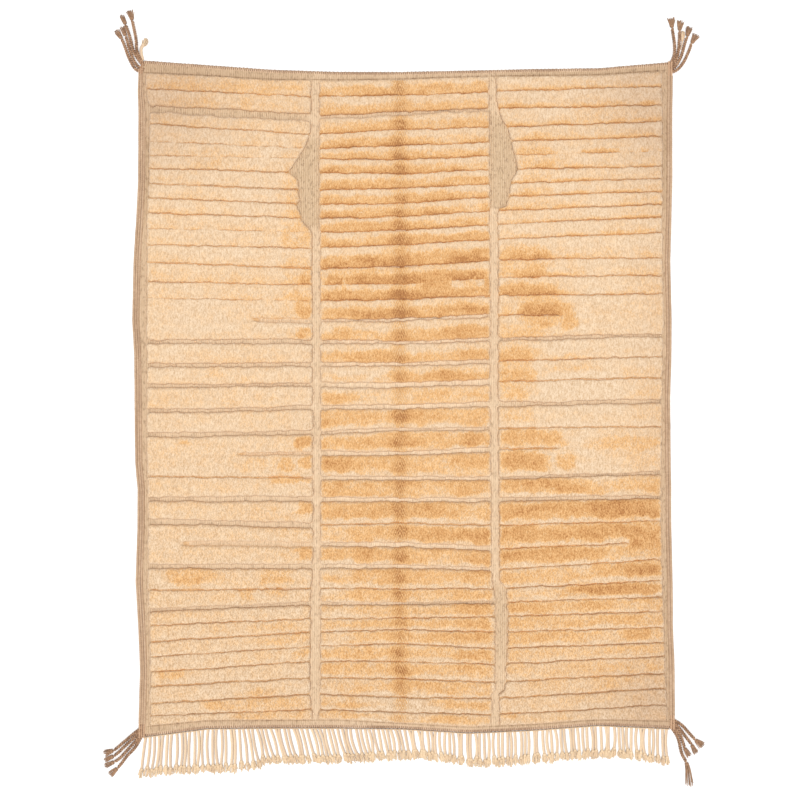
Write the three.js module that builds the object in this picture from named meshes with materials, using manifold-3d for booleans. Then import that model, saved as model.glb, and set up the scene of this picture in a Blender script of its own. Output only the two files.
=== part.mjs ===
// A hand-knotted wool rug, lying flat and face up. Millimetres, +Z up.
// The origin is the middle of the rug's underside. +X runs across the rug, and +Y towards its upper end.
import * as THREE from "three";
import { mergeVertices } from "three/addons/utils/BufferGeometryUtils.js";
import Module from "manifold-3d";

const wasm = await Module();
wasm.setup();

// Driving dimensions
const GROUND = 6; // thickness of the flat-woven ground
const PILE = 22; // top of the knotted pile, above the floor
const LUMP = 1.2; // how far the pile's top rises and falls
const LUMP_RUN = { across: 83, along: 57, drift: 210 }; // how slowly it does so across and along the rug
const WALL_RUN = 3; // how far a band's side leans back from a groove
const SHOULDER = 5; // how far the pile leans back from the borders and the lines
const FAINT = 0.35; // depth of a groove that the pile nearly closes, as a share of the pile
const SLIT = 2; // floor width of a closed groove
const HEADING = 17; // width of the ribbed band across each end
const HEADING_HIGH = 9;
const HEADING_ROUND = { wide: 0.25, high: 0.6 }; // where its rounded edges start, as shares of its size
const SELVEDGE_CORDS = { left: 3, right: 2 };
const SELVEDGE_WIDTH = { left: 32, right: 24 };
const CORD_HIGH = 12;
const CORD_VALLEY = 8;
const CORNER_LONG = 66; // length along the side of each corner, where the cords gather into plaits
const CORNER_HIGH = 11;
const CORNER_REACH = 1540; // how far from the middle of the rug, along it, the sides are read for a corner
const GAP = 0.3; // left between pieces that touch
const MERGE = 1e-4; // points closer than this are one point
const FRINGE_STRIP = { wide: 5, high: 9, from: -1196, to: 1228 };
const FRINGE_STRANDS = 110;
const STRAND = { wide: 11, high: 7.5 };
const KNOT = { wide: 15, high: 11 };
const TUFT = { wide: 19, high: 7, long: 38 };
const PLAIT = { wide: 13.5, high: 12 };
const PLAIT_KNOT = { wide: 1.2, high: 1.15 }; // as shares of the plait's own width and height
const BRUSH_HIGH = 0.7; // as a share of the plait's height
const CREAM_END_HIGH = 0.8; // as a share of its width

// A table is a list of rows with named columns.
const table = (names, ...lines) =>
  lines.map((line) => Object.fromEntries(names.map((name, i) => [name, line[i]])));

// Sides of the rug at some heights: the outer edge and the foot of the pile, left and right
const SIDES = table(
  ["y", "leftEdge", "leftPile", "rightPile", "rightEdge"],
  [1550, -1205, -1160, 1185, 1230],
  [1280, -1215, -1165, 1195, 1235],
  [1000, -1215, -1170, 1195, 1235],
  [820, -1230, -1180, 1195, 1230],
  [630, -1240, -1180, 1195, 1225],
  [400, -1240, -1180, 1200, 1230],
  [0, -1235, -1180, 1195, 1225],
  [-300, -1230, -1180, 1185, 1225],
  [-420, -1220, -1175, 1180, 1230],
  [-600, -1220, -1175, 1180, 1230],
  [-850, -1225, -1175, 1185, 1235],
  [-1050, -1215, -1170, 1190, 1235],
  [-1250, -1210, -1165, 1195, 1245],
  [-1540, -1215, -1165, 1195, 1245],
);

// Ends of the rug at some places across it: the outer edge and the foot of the pile, top and bottom
const ENDS = table(
  ["x", "topEdge", "topPile", "bottomPile", "bottomEdge"],
  [-1215, 1555, 1495, -1510, -1565],
  [-900, 1530, 1480, -1480, -1523],
  [-600, 1510, 1468, -1479, -1520],
  [-300, 1500, 1463, -1477, -1520],
  [0, 1500, 1463, -1493, -1524],
  [300, 1508, 1474, -1511, -1543],
  [600, 1510, 1477, -1498, -1530],
  [900, 1514, 1480, -1476, -1508],
  [1240, 1546, 1503, -1483, -1524],
);

// Grooves between the bands of pile, from the top. The first five columns say how high each lies at the left
// side, the left line, the middle, the right line and the right side. The next three say how far its floor
// gapes in the left, middle and right panels, with 0 where the pile nearly closes it. Three grooves don't
// cross the whole rug: they start and end at an x.
const STATIONS = [-1165, -405, 0, 425, 1185];
const GROOVES = table(
  ["left", "lineLeft", "middle", "lineRight", "right", "gapLeft", "gapMiddle", "gapRight", "from", "to"],
  [1420, 1385, 1390, 1410, 1430, 2, 2, 2],
  [1350, 1295, 1310, 1330, 1345, 14, 10, 6],
  [1260, 1210, 1235, 1245, 1270, 2, 2, 2],
  [1180, 1145, 1160, 1180, 1200, 0, 2, 2],
  [1115, 1100, 1095, 1115, 1135, 0, 2, 0],
  [1055, 1035, 1030, 1050, 1065, 2, 2, 2],
  [985, 955, 965, 985, 1010, 4, 2, 2],
  [920, 890, 895, 925, 950, 2, 2, 2],
  [850, 825, 835, 860, 890, 2, 2, 2],
  [780, 760, 770, 800, 830, 0, 2, 2],
  [705, 690, 705, 730, 760, 2, 2, 2],
  [625, 595, 605, 635, 645, 4, 2, 2],
  [535, 520, 525, 555, 565, 2, 0, 2],
  [460, 445, 455, 470, 480, 0, 2, 2],
  [375, 355, 360, 380, 390, 14, 8, 2, -650, 690],
  [260, 260, 255, 270, 290, 14, 10, 10],
  [150, 155, 155, 170, 190, 14, 12, 2],
  [55, 60, 60, 75, 95, 12, 18, 4],
  [-60, -45, -40, -30, -15, 14, 14, 14],
  [-170, -160, -145, -140, -130, 14, 10, 4],
  [-260, -255, -255, -235, -225, 10, 14, 4, -720, 680],
  [-360, -365, -370, -370, -345, 4, 10, 8],
  [-465, -465, -470, -470, -455, 18, 14, 12],
  [-570, -585, -575, -585, -565, 18, 4, 2],
  [-665, -675, -675, -695, -660, 16, 14, 2, -980, 1000],
  [-775, -775, -775, -790, -740, 14, 12, 2],
  [-885, -875, -875, -875, -840, 4, 2, 2],
  [-975, -945, -945, -940, -915, 10, 8, 0],
  [-1045, -1015, -1010, -1005, -980, 2, 2, 2],
  [-1120, -1075, -1065, -1075, -1055, 4, 2, 2],
  [-1190, -1140, -1130, -1150, -1125, 2, 2, 2],
  [-1260, -1210, -1210, -1225, -1185, 0, 2, 2],
  [-1325, -1285, -1290, -1305, -1265, 4, 4, 4],
  [-1405, -1360, -1375, -1380, -1335, 6, 4, 4],
  [-1460, -1430, -1445, -1455, -1410, 2, 2, 2],
);

// The two flat-woven lines down the rug: where each starts and ends across it. The left one carries a
// half-lozenge on its left, and the right one a half-lozenge on its right.
const LEFT_LINE = table(
  ["y", "from", "to"],
  [1475, -419, -386],
  [1214, -423, -389],
  [1140, -460, -387],
  [1058, -510, -387],
  [1040, -524, -387],
  [1003, -483, -387],
  [911, -474, -387],
  [888, -492, -387],
  [842, -465, -387],
  [805, -460, -386],
  [790, -419, -386],
  [313, -414, -384],
  [-147, -412, -382],
  [-745, -412, -384],
  [-929, -423, -384],
  [-1343, -425, -384],
  [-1412, -423, -384],
  [-1480, -410, -394],
);
const RIGHT_LINE = table(
  ["y", "from", "to"],
  [1486, 398, 428],
  [1371, 398, 428],
  [1325, 399, 437],
  [1279, 400, 455],
  [1233, 400, 483],
  [1140, 400, 506],
  [1058, 401, 529],
  [1003, 401, 497],
  [911, 401, 483],
  [879, 402, 469],
  [867, 402, 432],
  [727, 402, 435],
  [-147, 405, 437],
  [-837, 412, 442],
  [-874, 419, 469],
  [-929, 428, 478],
  [-1113, 426, 478],
  [-1343, 428, 467],
  [-1366, 412, 439],
  [-1500, 407, 442],
);

// Fringe: how far the strands lean to the right, and where their tips lie, at some places across the rug
const FRINGE = table(
  ["x", "lean", "tip"],
  [-1200, -12, -1743],
  [-1072, -8, -1734],
  [-934, -3, -1720],
  [-796, 5, -1716],
  [-727, 25, -1702],
  [-660, 42, -1688],
  [-474, 40, -1684],
  [-290, 40, -1679],
  [-152, 30, -1670],
  [32, 26, -1661],
  [130, 8, -1672],
  [240, 5, -1684],
  [308, 6, -1700],
  [446, 0, -1697],
  [630, 8, -1681],
  [722, 12, -1670],
  [906, 3, -1656],
  [1044, 2, -1661],
  [1136, 2, -1679],
  [1240, 1, -1690],
);

// Corner plaits: the first number is the width of the brush's tip. The points run from the corner out along
// the plait to its knot, and the last one is the brush's tip.
const plait = (brush, ...route) => ({ brush, route });
const PLAITS = {
  plaits_top_left: [
    plait(30, [-1199, 1540], [-1226, 1601], [-1229, 1647], [-1239, 1700], [-1248, 1742], [-1260, 1785]),
    plait(19, [-1197, 1530], [-1241, 1597], [-1254, 1647], [-1267, 1690], [-1279, 1722], [-1297, 1764]),
    plait(21, [-1196, 1512], [-1226, 1533], [-1259, 1605], [-1273, 1654], [-1285, 1684], [-1296, 1712]),
    plait(23, [-1198, 1502], [-1229, 1513], [-1254, 1550], [-1293, 1647], [-1307, 1672], [-1322, 1695]),
  ],
  plaits_top_right: [
    plait(33, [1226, 1528], [1248, 1575], [1251, 1619], [1245, 1670], [1240, 1702], [1237, 1752]),
    plait(29, [1228, 1521], [1251, 1547], [1264, 1577], [1273, 1651], [1274, 1693], [1279, 1739]),
    plait(27, [1226, 1508], [1250, 1524], [1273, 1556], [1301, 1642], [1310, 1670], [1322, 1711]),
    plait(31, [1227, 1500], [1254, 1507], [1283, 1533], [1317, 1599], [1330, 1633], [1354, 1674]),
  ],
  plaits_bottom_left: [
    plait(27, [-1201, -1518], [-1224, -1534], [-1293, -1591], [-1329, -1620], [-1377, -1640]),
    plait(19, [-1201, -1529], [-1222, -1549], [-1286, -1609], [-1321, -1641], [-1374, -1670]),
    plait(22, [-1202, -1546], [-1218, -1565], [-1275, -1628], [-1309, -1663], [-1372, -1696]),
    plait(25, [-1203, -1555], [-1235, -1611], [-1270, -1648], [-1302, -1690], [-1349, -1738]),
  ],
  plaits_bottom_right: [
    plait(31, [1233, -1476], [1284, -1507], [1320, -1546], [1352, -1579], [1382, -1604]),
    plait(24, [1233, -1488], [1253, -1501], [1302, -1560], [1329, -1597], [1352, -1638]),
    plait(21, [1234, -1501], [1275, -1549], [1288, -1582], [1300, -1617], [1320, -1652]),
    plait(40, [1234, -1512], [1265, -1563], [1285, -1640], [1307, -1684], [1320, -1785]),
  ],
};
const CREAM_ENDS = {
  warp_tassel_top_left: {
    wide: 9,
    ...plait(23, [-1193, 1560], [-1200, 1596], [-1198, 1617], [-1186, 1630], [-1175, 1650]),
  },
  warp_end_top_right: {
    wide: 5.5,
    ...plait(11, [1278, 1606], [1285, 1630], [1288, 1656], [1290, 1688]),
  },
};

const COLOURS = {
  pile: 0xe6c297,
  heading: 0xb29478,
  selvedge: 0xb08f72,
  plait: 0x8f6d52,
  fringe: 0xd9c3a0,
};

// The value of a table's column at a place between its rows
function at(rows, key, column, place) {
  const climbs = rows[0][key] < rows[rows.length - 1][key];
  const sorted = climbs ? rows : [...rows].reverse();
  const next = sorted.findIndex((row) => row[key] >= place);
  if (next === 0) return sorted[0][column];
  if (next < 0) return sorted[sorted.length - 1][column];
  const low = sorted[next - 1];
  const high = sorted[next];
  const share = (place - low[key]) / (high[key] - low[key]);
  return THREE.MathUtils.lerp(low[column], high[column], share);
}

const side = (column, y) => at(SIDES, "y", column, y);
const end = (column, x) => at(ENDS, "x", column, x);
const fringeAt = (column, x) => at(FRINGE, "x", column, x);

// The height of a groove's middle at a place across the rug
function grooveY(groove, x) {
  const heights = [groove.left, groove.lineLeft, groove.middle, groove.lineRight, groove.right];
  const next = THREE.MathUtils.clamp(STATIONS.findIndex((station) => station >= x), 1, STATIONS.length - 1);
  const last = x > STATIONS[STATIONS.length - 1] ? STATIONS.length - 1 : next;
  const share = (x - STATIONS[last - 1]) / (STATIONS[last] - STATIONS[last - 1]);
  return THREE.MathUtils.lerp(heights[last - 1], heights[last], share);
}

// How wide a groove's floor is, and how deep it goes as a share of the pile
function grooveForm(groove, x) {
  const [, lineLeft, , lineRight] = STATIONS;
  const gap = x < lineLeft ? groove.gapLeft : x < lineRight ? groove.gapMiddle : groove.gapRight;
  const outside = x < (groove.from ?? -Infinity) || x > (groove.to ?? Infinity);
  const depth = outside ? 0 : gap === 0 ? FAINT : 1;
  return { gap: Math.max(gap, SLIT), depth };
}

// Each column of the field's grid: its place across the rug, and whether it stands on pile
const BORDER_LEFT = SELVEDGE_WIDTH.left + GAP;
const BORDER_RIGHT = SELVEDGE_WIDTH.right + GAP;
const lineEdge = (line, column, y) => at(line, "y", column, y);
const PANELS = [
  { from: (y) => side("leftPile", y), to: (y) => lineEdge(LEFT_LINE, "from", y) },
  { from: (y) => lineEdge(LEFT_LINE, "to", y), to: (y) => lineEdge(RIGHT_LINE, "from", y) },
  { from: (y) => lineEdge(RIGHT_LINE, "to", y), to: (y) => side("rightPile", y) },
];
const SHARES = [0.25, 0.5, 0.75];
const COLUMNS = [
  { x: (y) => side("leftEdge", y) + BORDER_LEFT, pile: false },
  ...PANELS.flatMap(({ from, to }) => [
    { x: from, pile: false },
    { x: (y) => from(y) + SHOULDER, pile: true },
    ...SHARES.map((share) => ({ x: (y) => THREE.MathUtils.lerp(from(y), to(y), share), pile: true })),
    { x: (y) => to(y) - SHOULDER, pile: true },
    { x: to, pile: false },
  ]),
  { x: (y) => side("rightEdge", y) - BORDER_RIGHT, pile: false },
];

// Each row of the field's grid: its height on the rug at an x, and how deep the pile is cut there
const uncut = () => 0;
const ROWS = [
  { y: (x) => end("topEdge", x) - HEADING - GAP, pile: false, cut: uncut },
  { y: (x) => end("topPile", x), pile: false, cut: uncut },
  { y: (x) => end("topPile", x) - SHOULDER, pile: true, cut: uncut },
  ...GROOVES.flatMap((groove) => {
    const depth = (x) => grooveForm(groove, x).depth;
    const offset = (x, run) => grooveForm(groove, x).gap / 2 + run;
    return [
      { y: (x) => grooveY(groove, x) + offset(x, WALL_RUN), pile: true, cut: uncut },
      { y: (x) => grooveY(groove, x) + offset(x, 0), pile: true, cut: depth },
      { y: (x) => grooveY(groove, x) - offset(x, 0), pile: true, cut: depth },
      { y: (x) => grooveY(groove, x) - offset(x, WALL_RUN), pile: true, cut: uncut },
    ];
  }),
  { y: (x) => end("bottomPile", x) + SHOULDER, pile: true, cut: uncut },
  { y: (x) => end("bottomPile", x), pile: false, cut: uncut },
  { y: (x) => end("bottomEdge", x) + HEADING + GAP, pile: false, cut: uncut },
];
const GROOVE_ROWS = 4;
const FIRST_GROOVE_ROW = 3;

// The outline of the field is straight between the grooves, so that the selvedges can follow it closely.
// A side's line has one point for each groove, and one at each end.
function sideLine(column) {
  const x = COLUMNS[column].x;
  const rows = [ROWS[0], ...GROOVES.map((_, i) => ROWS[FIRST_GROOVE_ROW + i * GROOVE_ROWS]), ROWS.at(-1)];
  return rows.map((row) => {
    const y = row.y(x(row.y(x(0))));
    return { y, x: x(y) };
  });
}
const LEFT_BORDER = sideLine(0);
const RIGHT_BORDER = sideLine(COLUMNS.length - 1);

function fieldPoint(row, column) {
  const { x: across, pile } = COLUMNS[column];
  const border = { 0: LEFT_BORDER, [COLUMNS.length - 1]: RIGHT_BORDER }[column];
  const xAt = border ? (y) => at(border, "y", "x", y) : across;
  let x = xAt(ROWS[row].y(xAt(0)));
  let y = ROWS[row].y(x);
  x = xAt(y);
  y = ROWS[row].y(x);
  const standing = pile && ROWS[row].pile ? 1 - ROWS[row].cut(x) : 0;
  const lump = LUMP * Math.sin(x / LUMP_RUN.across) * Math.sin(y / LUMP_RUN.along + x / LUMP_RUN.drift);
  return new THREE.Vector3(x, y, GROUND + standing * (PILE - GROUND + lump));
}

function geometryOf(points, triangles) {
  const geometry = new THREE.BufferGeometry().setFromPoints(points);
  geometry.setIndex(triangles.flat());
  return mergeVertices(geometry, MERGE);
}

// The field is a grid with the pile raised in its points, over a flat underside. Part of the underside is
// one square, so that the origin lies well inside a single face.
const PATCH = { left: -300, right: 250, low: -200, high: 350 };
function fieldGeometry() {
  const columns = COLUMNS.length;
  const top = ROWS.flatMap((_, row) => COLUMNS.map((_, column) => fieldPoint(row, column)));
  const rim = [
    ...COLUMNS.map((_, column) => column),
    ...ROWS.slice(1).map((_, i) => (i + 2) * columns - 1),
    ...COLUMNS.slice(1).map((_, i) => ROWS.length * columns - 2 - i),
    ...ROWS.slice(2).map((_, i) => (ROWS.length - 2 - i) * columns),
  ];
  const floorRim = rim.map((index) => new THREE.Vector2(top[index].x, top[index].y));
  const patch = [
    new THREE.Vector2(PATCH.left, PATCH.low),
    new THREE.Vector2(PATCH.right, PATCH.low),
    new THREE.Vector2(PATCH.right, PATCH.high),
    new THREE.Vector2(PATCH.left, PATCH.high),
  ];
  const points = [...top, ...[...floorRim, ...patch].map(({ x, y }) => new THREE.Vector3(x, y, 0))];
  const first = top.length;
  const patchFirst = first + rim.length;
  const triangles = [];
  for (let row = 0; row < ROWS.length - 1; row += 1) {
    for (let column = 0; column < columns - 1; column += 1) {
      const corner = row * columns + column;
      triangles.push([corner, corner + columns, corner + columns + 1]);
      triangles.push([corner, corner + columns + 1, corner + 1]);
    }
  }
  rim.forEach((index, i) => {
    const next = (i + 1) % rim.length;
    triangles.push([index, rim[next], first + next]);
    triangles.push([index, first + next, first + i]);
  });
  for (const [a, b, c] of THREE.ShapeUtils.triangulateShape(floorRim, [patch])) {
    triangles.push(facingDown([first + a, first + b, first + c], points));
  }
  triangles.push([patchFirst, patchFirst + 2, patchFirst + 1]);
  triangles.push([patchFirst, patchFirst + 3, patchFirst + 2]);
  return geometryOf(points, triangles);
}

function facingDown([a, b, c], points) {
  const along = points[b].clone().sub(points[a]);
  const beside = points[c].clone().sub(points[a]);
  return along.cross(beside).z > 0 ? [a, c, b] : [a, b, c];
}

// A closed body through a row of rings, each a list of the same number of points. The rings turn
// anticlockwise, seen from the end towards the start.
function loft(rings) {
  const sides = rings[0].length;
  const points = rings.flat();
  const triangles = [];
  for (let ring = 0; ring < rings.length - 1; ring += 1) {
    for (let i = 0; i < sides; i += 1) {
      const a = ring * sides + i;
      const b = ring * sides + ((i + 1) % sides);
      triangles.push([a, b, b + sides], [a, b + sides, a + sides]);
    }
  }
  const last = (rings.length - 1) * sides;
  for (let i = 1; i < sides - 1; i += 1) {
    triangles.push([0, i + 1, i], [last, last + i, last + i + 1]);
  }
  return geometryOf(points, triangles);
}

// A band that follows a line on the floor. Its profile gives how far to the line's left each point lies, and
// how high, in order from the left over the top to the right.
function band(line, profile) {
  const rings = line.map(({ x, y, leftX, leftY }) =>
    profile.map(([left, high]) => new THREE.Vector3(x + leftX * left, y + leftY * left, high)),
  );
  return loft(rings);
}

// A heading covers the end of the field, between the two corners.
const HEADING_PROFILE = [
  [HEADING, 0],
  [HEADING, HEADING_HIGH * HEADING_ROUND.high],
  [HEADING * (1 - HEADING_ROUND.wide), HEADING_HIGH],
  [HEADING * HEADING_ROUND.wide, HEADING_HIGH],
  [0, HEADING_HIGH * HEADING_ROUND.high],
  [0, 0],
];
function headingGeometry(row, outward) {
  const line = COLUMNS.map((_, column) => {
    const { x, y } = fieldPoint(row, column);
    return { x, y: y + outward * GAP, leftX: 0, leftY: outward };
  });
  return band(outward > 0 ? line : line.reverse(), HEADING_PROFILE);
}

// A selvedge lies beside the field, between the two corners. Its profile is a row of overcast cords.
function selvedgeGeometry(name, border, outward) {
  const cords = SELVEDGE_CORDS[name];
  const width = SELVEDGE_WIDTH[name];
  const crests = Array.from({ length: 2 * cords - 1 }, (_, i) => [
    width * (1 - (i + 1) / (2 * cords)),
    i % 2 === 0 ? CORD_HIGH : CORD_VALLEY,
  ]);
  const profile = [[width, 0], [width, CORD_VALLEY], ...crests, [0, CORD_VALLEY], [0, 0]];
  const high = cornerLow(name, "top") - GAP;
  const low = cornerLow(name, "bottom") + GAP;
  const inside = border.filter(({ y }) => y < high && y > low).map(({ y }) => y);
  const line = [high, ...inside, low].map((y) => ({
    x: at(border, "y", "x", y) + outward * GAP,
    y,
    leftX: outward,
    leftY: 0,
  }));
  return band(outward < 0 ? line.reverse() : line, profile);
}

// The corner at a side and an end: a piece of the edge where heading and selvedge cords gather
const outwardOf = { left: -1, right: 1, top: 1, bottom: -1 };
function cornerLow(sideName, endName) {
  const x = side(`${sideName}Edge`, outwardOf[endName] * CORNER_REACH);
  return end(`${endName}Edge`, x) - outwardOf[endName] * CORNER_LONG;
}
function cornerGeometry(sideName, endName) {
  const outward = outwardOf[sideName];
  const up = outwardOf[endName];
  const border = sideName === "left" ? LEFT_BORDER : RIGHT_BORDER;
  const low = cornerLow(sideName, endName);
  const high = low + up * CORNER_LONG;
  const width = SELVEDGE_WIDTH[sideName];
  const inner = (y) => at(border, "y", "x", y) + outward * GAP;
  const outline = [
    new THREE.Vector2(inner(low), low),
    new THREE.Vector2(inner(low) + outward * width, low),
    new THREE.Vector2(inner(high) + outward * width, high),
    new THREE.Vector2(inner(high), high),
  ];
  const shape = new THREE.Shape(outline);
  return new THREE.ExtrudeGeometry(shape, { depth: CORNER_HIGH, bevelEnabled: false });
}

// A strand lies on the floor. Its section is four-sided, with a flat underside and a narrower top.
const TOP_SHARE = 0.6;
function strand(sections) {
  const line = sections.map(({ x, y }, i) => {
    const before = sections[Math.max(i - 1, 0)];
    const after = sections[Math.min(i + 1, sections.length - 1)];
    const ahead = new THREE.Vector2(after.x - before.x, after.y - before.y).normalize();
    return { x, y, leftX: -ahead.y, leftY: ahead.x };
  });
  const rings = line.map(({ x, y, leftX, leftY }, i) => {
    const half = sections[i].wide / 2;
    const top = half * TOP_SHARE;
    return [[half, 0], [top, sections[i].high], [-top, sections[i].high], [-half, 0]].map(
      ([left, high]) => new THREE.Vector3(x + leftX * left, y + leftY * left, high),
    );
  });
  return loft(rings);
}

function solidOf(geometry) {
  const bare = geometry.clone();
  for (const name of Object.keys(bare.attributes)) {
    if (name !== "position") bare.deleteAttribute(name);
  }
  const merged = mergeVertices(bare, MERGE);
  return new wasm.Manifold(
    new wasm.Mesh({
      numProp: 3,
      vertProperties: new Float32Array(merged.attributes.position.array),
      triVerts: new Uint32Array(merged.index.array),
    }),
  );
}

function joined(geometries) {
  const solid = geometries.map(solidOf).reduce((whole, piece) => whole.add(piece));
  const { vertProperties, triVerts } = solid.getMesh();
  const geometry = new THREE.BufferGeometry();
  geometry.setAttribute("position", new THREE.BufferAttribute(new Float32Array(vertProperties), 3));
  geometry.setIndex(new THREE.BufferAttribute(new Uint32Array(triVerts), 1));
  return geometry;
}

// The strip that holds the fringe runs close below the heading and the two lower corners.
function stripLine() {
  const [left, right] = ["left", "right"].map((name) => cornerLow(name, "bottom") - CORNER_LONG - GAP);
  const below = COLUMNS.map((_, column) => {
    const { x, y } = fieldPoint(ROWS.length - 1, column);
    return { x, y: y - HEADING - 2 * GAP };
  });
  below[0].y = left;
  below[below.length - 1].y = right;
  return [{ x: FRINGE_STRIP.from, y: left }, ...below, { x: FRINGE_STRIP.to, y: right }];
}
const STRIP_LINE = stripLine();

// One strand of the fringe: a twisted yarn that leans, a knot, and a tuft
const KNOT_LONG = 14;
const STRAND_APART = 3;
function fringeStrand(index) {
  const { from, to, wide } = FRINGE_STRIP;
  const pitch = (to - from - STRAND.wide) / (FRINGE_STRANDS - 1);
  const x = from + STRAND.wide / 2 + pitch * index;
  const root = at(STRIP_LINE, "x", "y", x) - wide / 2;
  const tip = fringeAt("tip", x);
  const lean = fringeAt("lean", x);
  const gain = Math.abs(fringeAt("lean", x + pitch) - fringeAt("lean", x - pitch)) / 2;
  const widest = pitch - gain - STRAND_APART;
  const knot = tip + TUFT.long;
  const across = (y) => x + (lean * (root - y)) / (root - tip);
  const section = (y, width, high) => ({ x: across(y), y, wide: Math.min(width, widest), high });
  return strand([
    section(root, STRAND.wide, STRAND.high),
    section(knot + KNOT_LONG, STRAND.wide, STRAND.high),
    section(knot, KNOT.wide, KNOT.high),
    section(tip, TUFT.wide, TUFT.high),
  ]);
}

function fringeGeometry() {
  const { wide, high } = FRINGE_STRIP;
  const line = STRIP_LINE.map(({ x, y }) => ({ x, y, leftX: 0, leftY: -1 })).reverse();
  const strip = band(line, [[wide, 0], [wide, high], [0, high], [0, 0]]);
  return joined([strip, ...Array.from({ length: FRINGE_STRANDS }, (_, i) => fringeStrand(i))]);
}

// A plait narrows a little before its knot, and its brush spreads to the tip.
function plaitGeometry({ brush, route }, { wide, high }) {
  const knot = route.length - 2;
  return strand(
    route.map(([x, y], i) => {
      if (i === knot) return { x, y, wide: wide * PLAIT_KNOT.wide, high: high * PLAIT_KNOT.high };
      if (i > knot) return { x, y, wide: brush, high: high * BRUSH_HIGH };
      return { x, y, wide, high };
    }),
  );
}

function plaitsGeometry(name) {
  const [, endName, sideName] = name.split("_");
  const plaits = PLAITS[name].map((plait) => plaitGeometry(plait, PLAIT));
  return joined([cornerGeometry(sideName, endName), ...plaits]);
}

function cloth(name, geometry, colour) {
  const material = new THREE.MeshStandardMaterial({ color: colour, roughness: 0.95, metalness: 0 });
  const mesh = new THREE.Mesh(geometry, material);
  mesh.name = name;
  return mesh;
}

const rug = new THREE.Group();
rug.add(cloth("rug_field", fieldGeometry(), COLOURS.pile));
rug.add(cloth("heading_top", headingGeometry(0, 1), COLOURS.heading));
rug.add(cloth("heading_bottom", headingGeometry(ROWS.length - 1, -1), COLOURS.heading));
rug.add(cloth("selvedge_left", selvedgeGeometry("left", LEFT_BORDER, -1), COLOURS.selvedge));
rug.add(cloth("selvedge_right", selvedgeGeometry("right", RIGHT_BORDER, 1), COLOURS.selvedge));
rug.add(cloth("fringe", fringeGeometry(), COLOURS.fringe));
for (const name of Object.keys(PLAITS)) {
  rug.add(cloth(name, plaitsGeometry(name), COLOURS.plait));
}
for (const [name, warp] of Object.entries(CREAM_ENDS)) {
  const geometry = plaitGeometry(warp, { wide: warp.wide, high: warp.wide * CREAM_END_HIGH });
  rug.add(cloth(name, geometry, COLOURS.fringe));
}

export default rug;
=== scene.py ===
# %% [markdown]
# # A hand-knotted wool rug, laid flat
# A rug of this kind is woven on an upright loom. Cream warps run its whole length, a flat weave is beaten in
# between them, and rows of wool knots are tied on top. Here the knots stand in low bands with a bare groove
# after each, two flat-woven lines run down the rug, and the ends of the warps are plaited or knotted.
# The lesson dresses a plain model of the rug, piece by piece, in the order in which a weaver would make it:
# the ground, the pile, the edges, then the plaits and the fringe.

# %% Loading the plain model
import math

import bpy
import numpy as np
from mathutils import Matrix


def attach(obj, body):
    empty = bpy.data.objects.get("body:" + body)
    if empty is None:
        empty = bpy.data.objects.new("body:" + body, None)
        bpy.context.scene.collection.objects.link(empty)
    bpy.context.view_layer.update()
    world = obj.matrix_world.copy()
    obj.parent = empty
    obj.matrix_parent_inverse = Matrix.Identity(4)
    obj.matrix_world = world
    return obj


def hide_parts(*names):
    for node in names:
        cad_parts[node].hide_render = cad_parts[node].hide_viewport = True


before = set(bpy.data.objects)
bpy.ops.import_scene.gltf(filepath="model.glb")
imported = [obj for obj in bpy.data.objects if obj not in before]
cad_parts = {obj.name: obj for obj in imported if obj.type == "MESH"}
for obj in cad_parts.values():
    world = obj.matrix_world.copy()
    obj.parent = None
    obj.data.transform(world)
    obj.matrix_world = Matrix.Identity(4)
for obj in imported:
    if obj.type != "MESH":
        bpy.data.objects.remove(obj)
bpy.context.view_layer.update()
print("nodes in the plain model:", sorted(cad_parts))

# %% [markdown]
# ## The rug's measures
# Blender works in metres, and a weaver's measures are small, so they are written in millimetres and made
# metres when a mesh gets its points. Z is up out of the pile, Y runs along the rug, and the floor is at 0.

# %% Main sizes
MM = 0.001
GROUND = 6.0  # thickness of the flat-woven ground
PILE = 22.0  # top of the pile above the floor
LUMP = 1.2  # how far the pile's top rises and falls
LUMP_RUN = (83.0, 57.0, 210.0)  # how slowly it does so across and along, and how its rows drift
HEADING = 18.0  # width of the ribbed band across each end
HEADING_HIGH = 9.0
CORD_HIGH = 12.0
SIDE_CORDS = {"left": 3, "right": 2}
SIDE_WIDTH = {"left": 32.0, "right": 24.0}
WIDE = 5.0  # a groove that gapes more than this reaches the ground
CORNER_LONG = 66.0  # length of the wrapped corner at each end of a side
UNDER = 5.0  # how far the ground runs under the cords and the end bands


def table(names, *rows):
    """Rows of numbers under named columns. A short row has nothing in its last columns."""
    names = names.split()
    full = [list(row) + [math.nan] * (len(names) - len(row)) for row in rows]
    return {name: np.array([row[i] for row in full], float) for i, name in enumerate(names)}


def read(rows, key, column, place):
    """The value of a table's column at a place between its rows."""
    order = np.argsort(rows[key])
    return np.interp(place, rows[key][order], rows[column][order])


# %% [markdown]
# ## Where the edges, the bands and the lines run
# A hand-woven rug is never quite straight, and the eye sees it at once when a model is. So the outline, the
# grooves and the two lines are short tables of measures, and everything later follows them.

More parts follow.
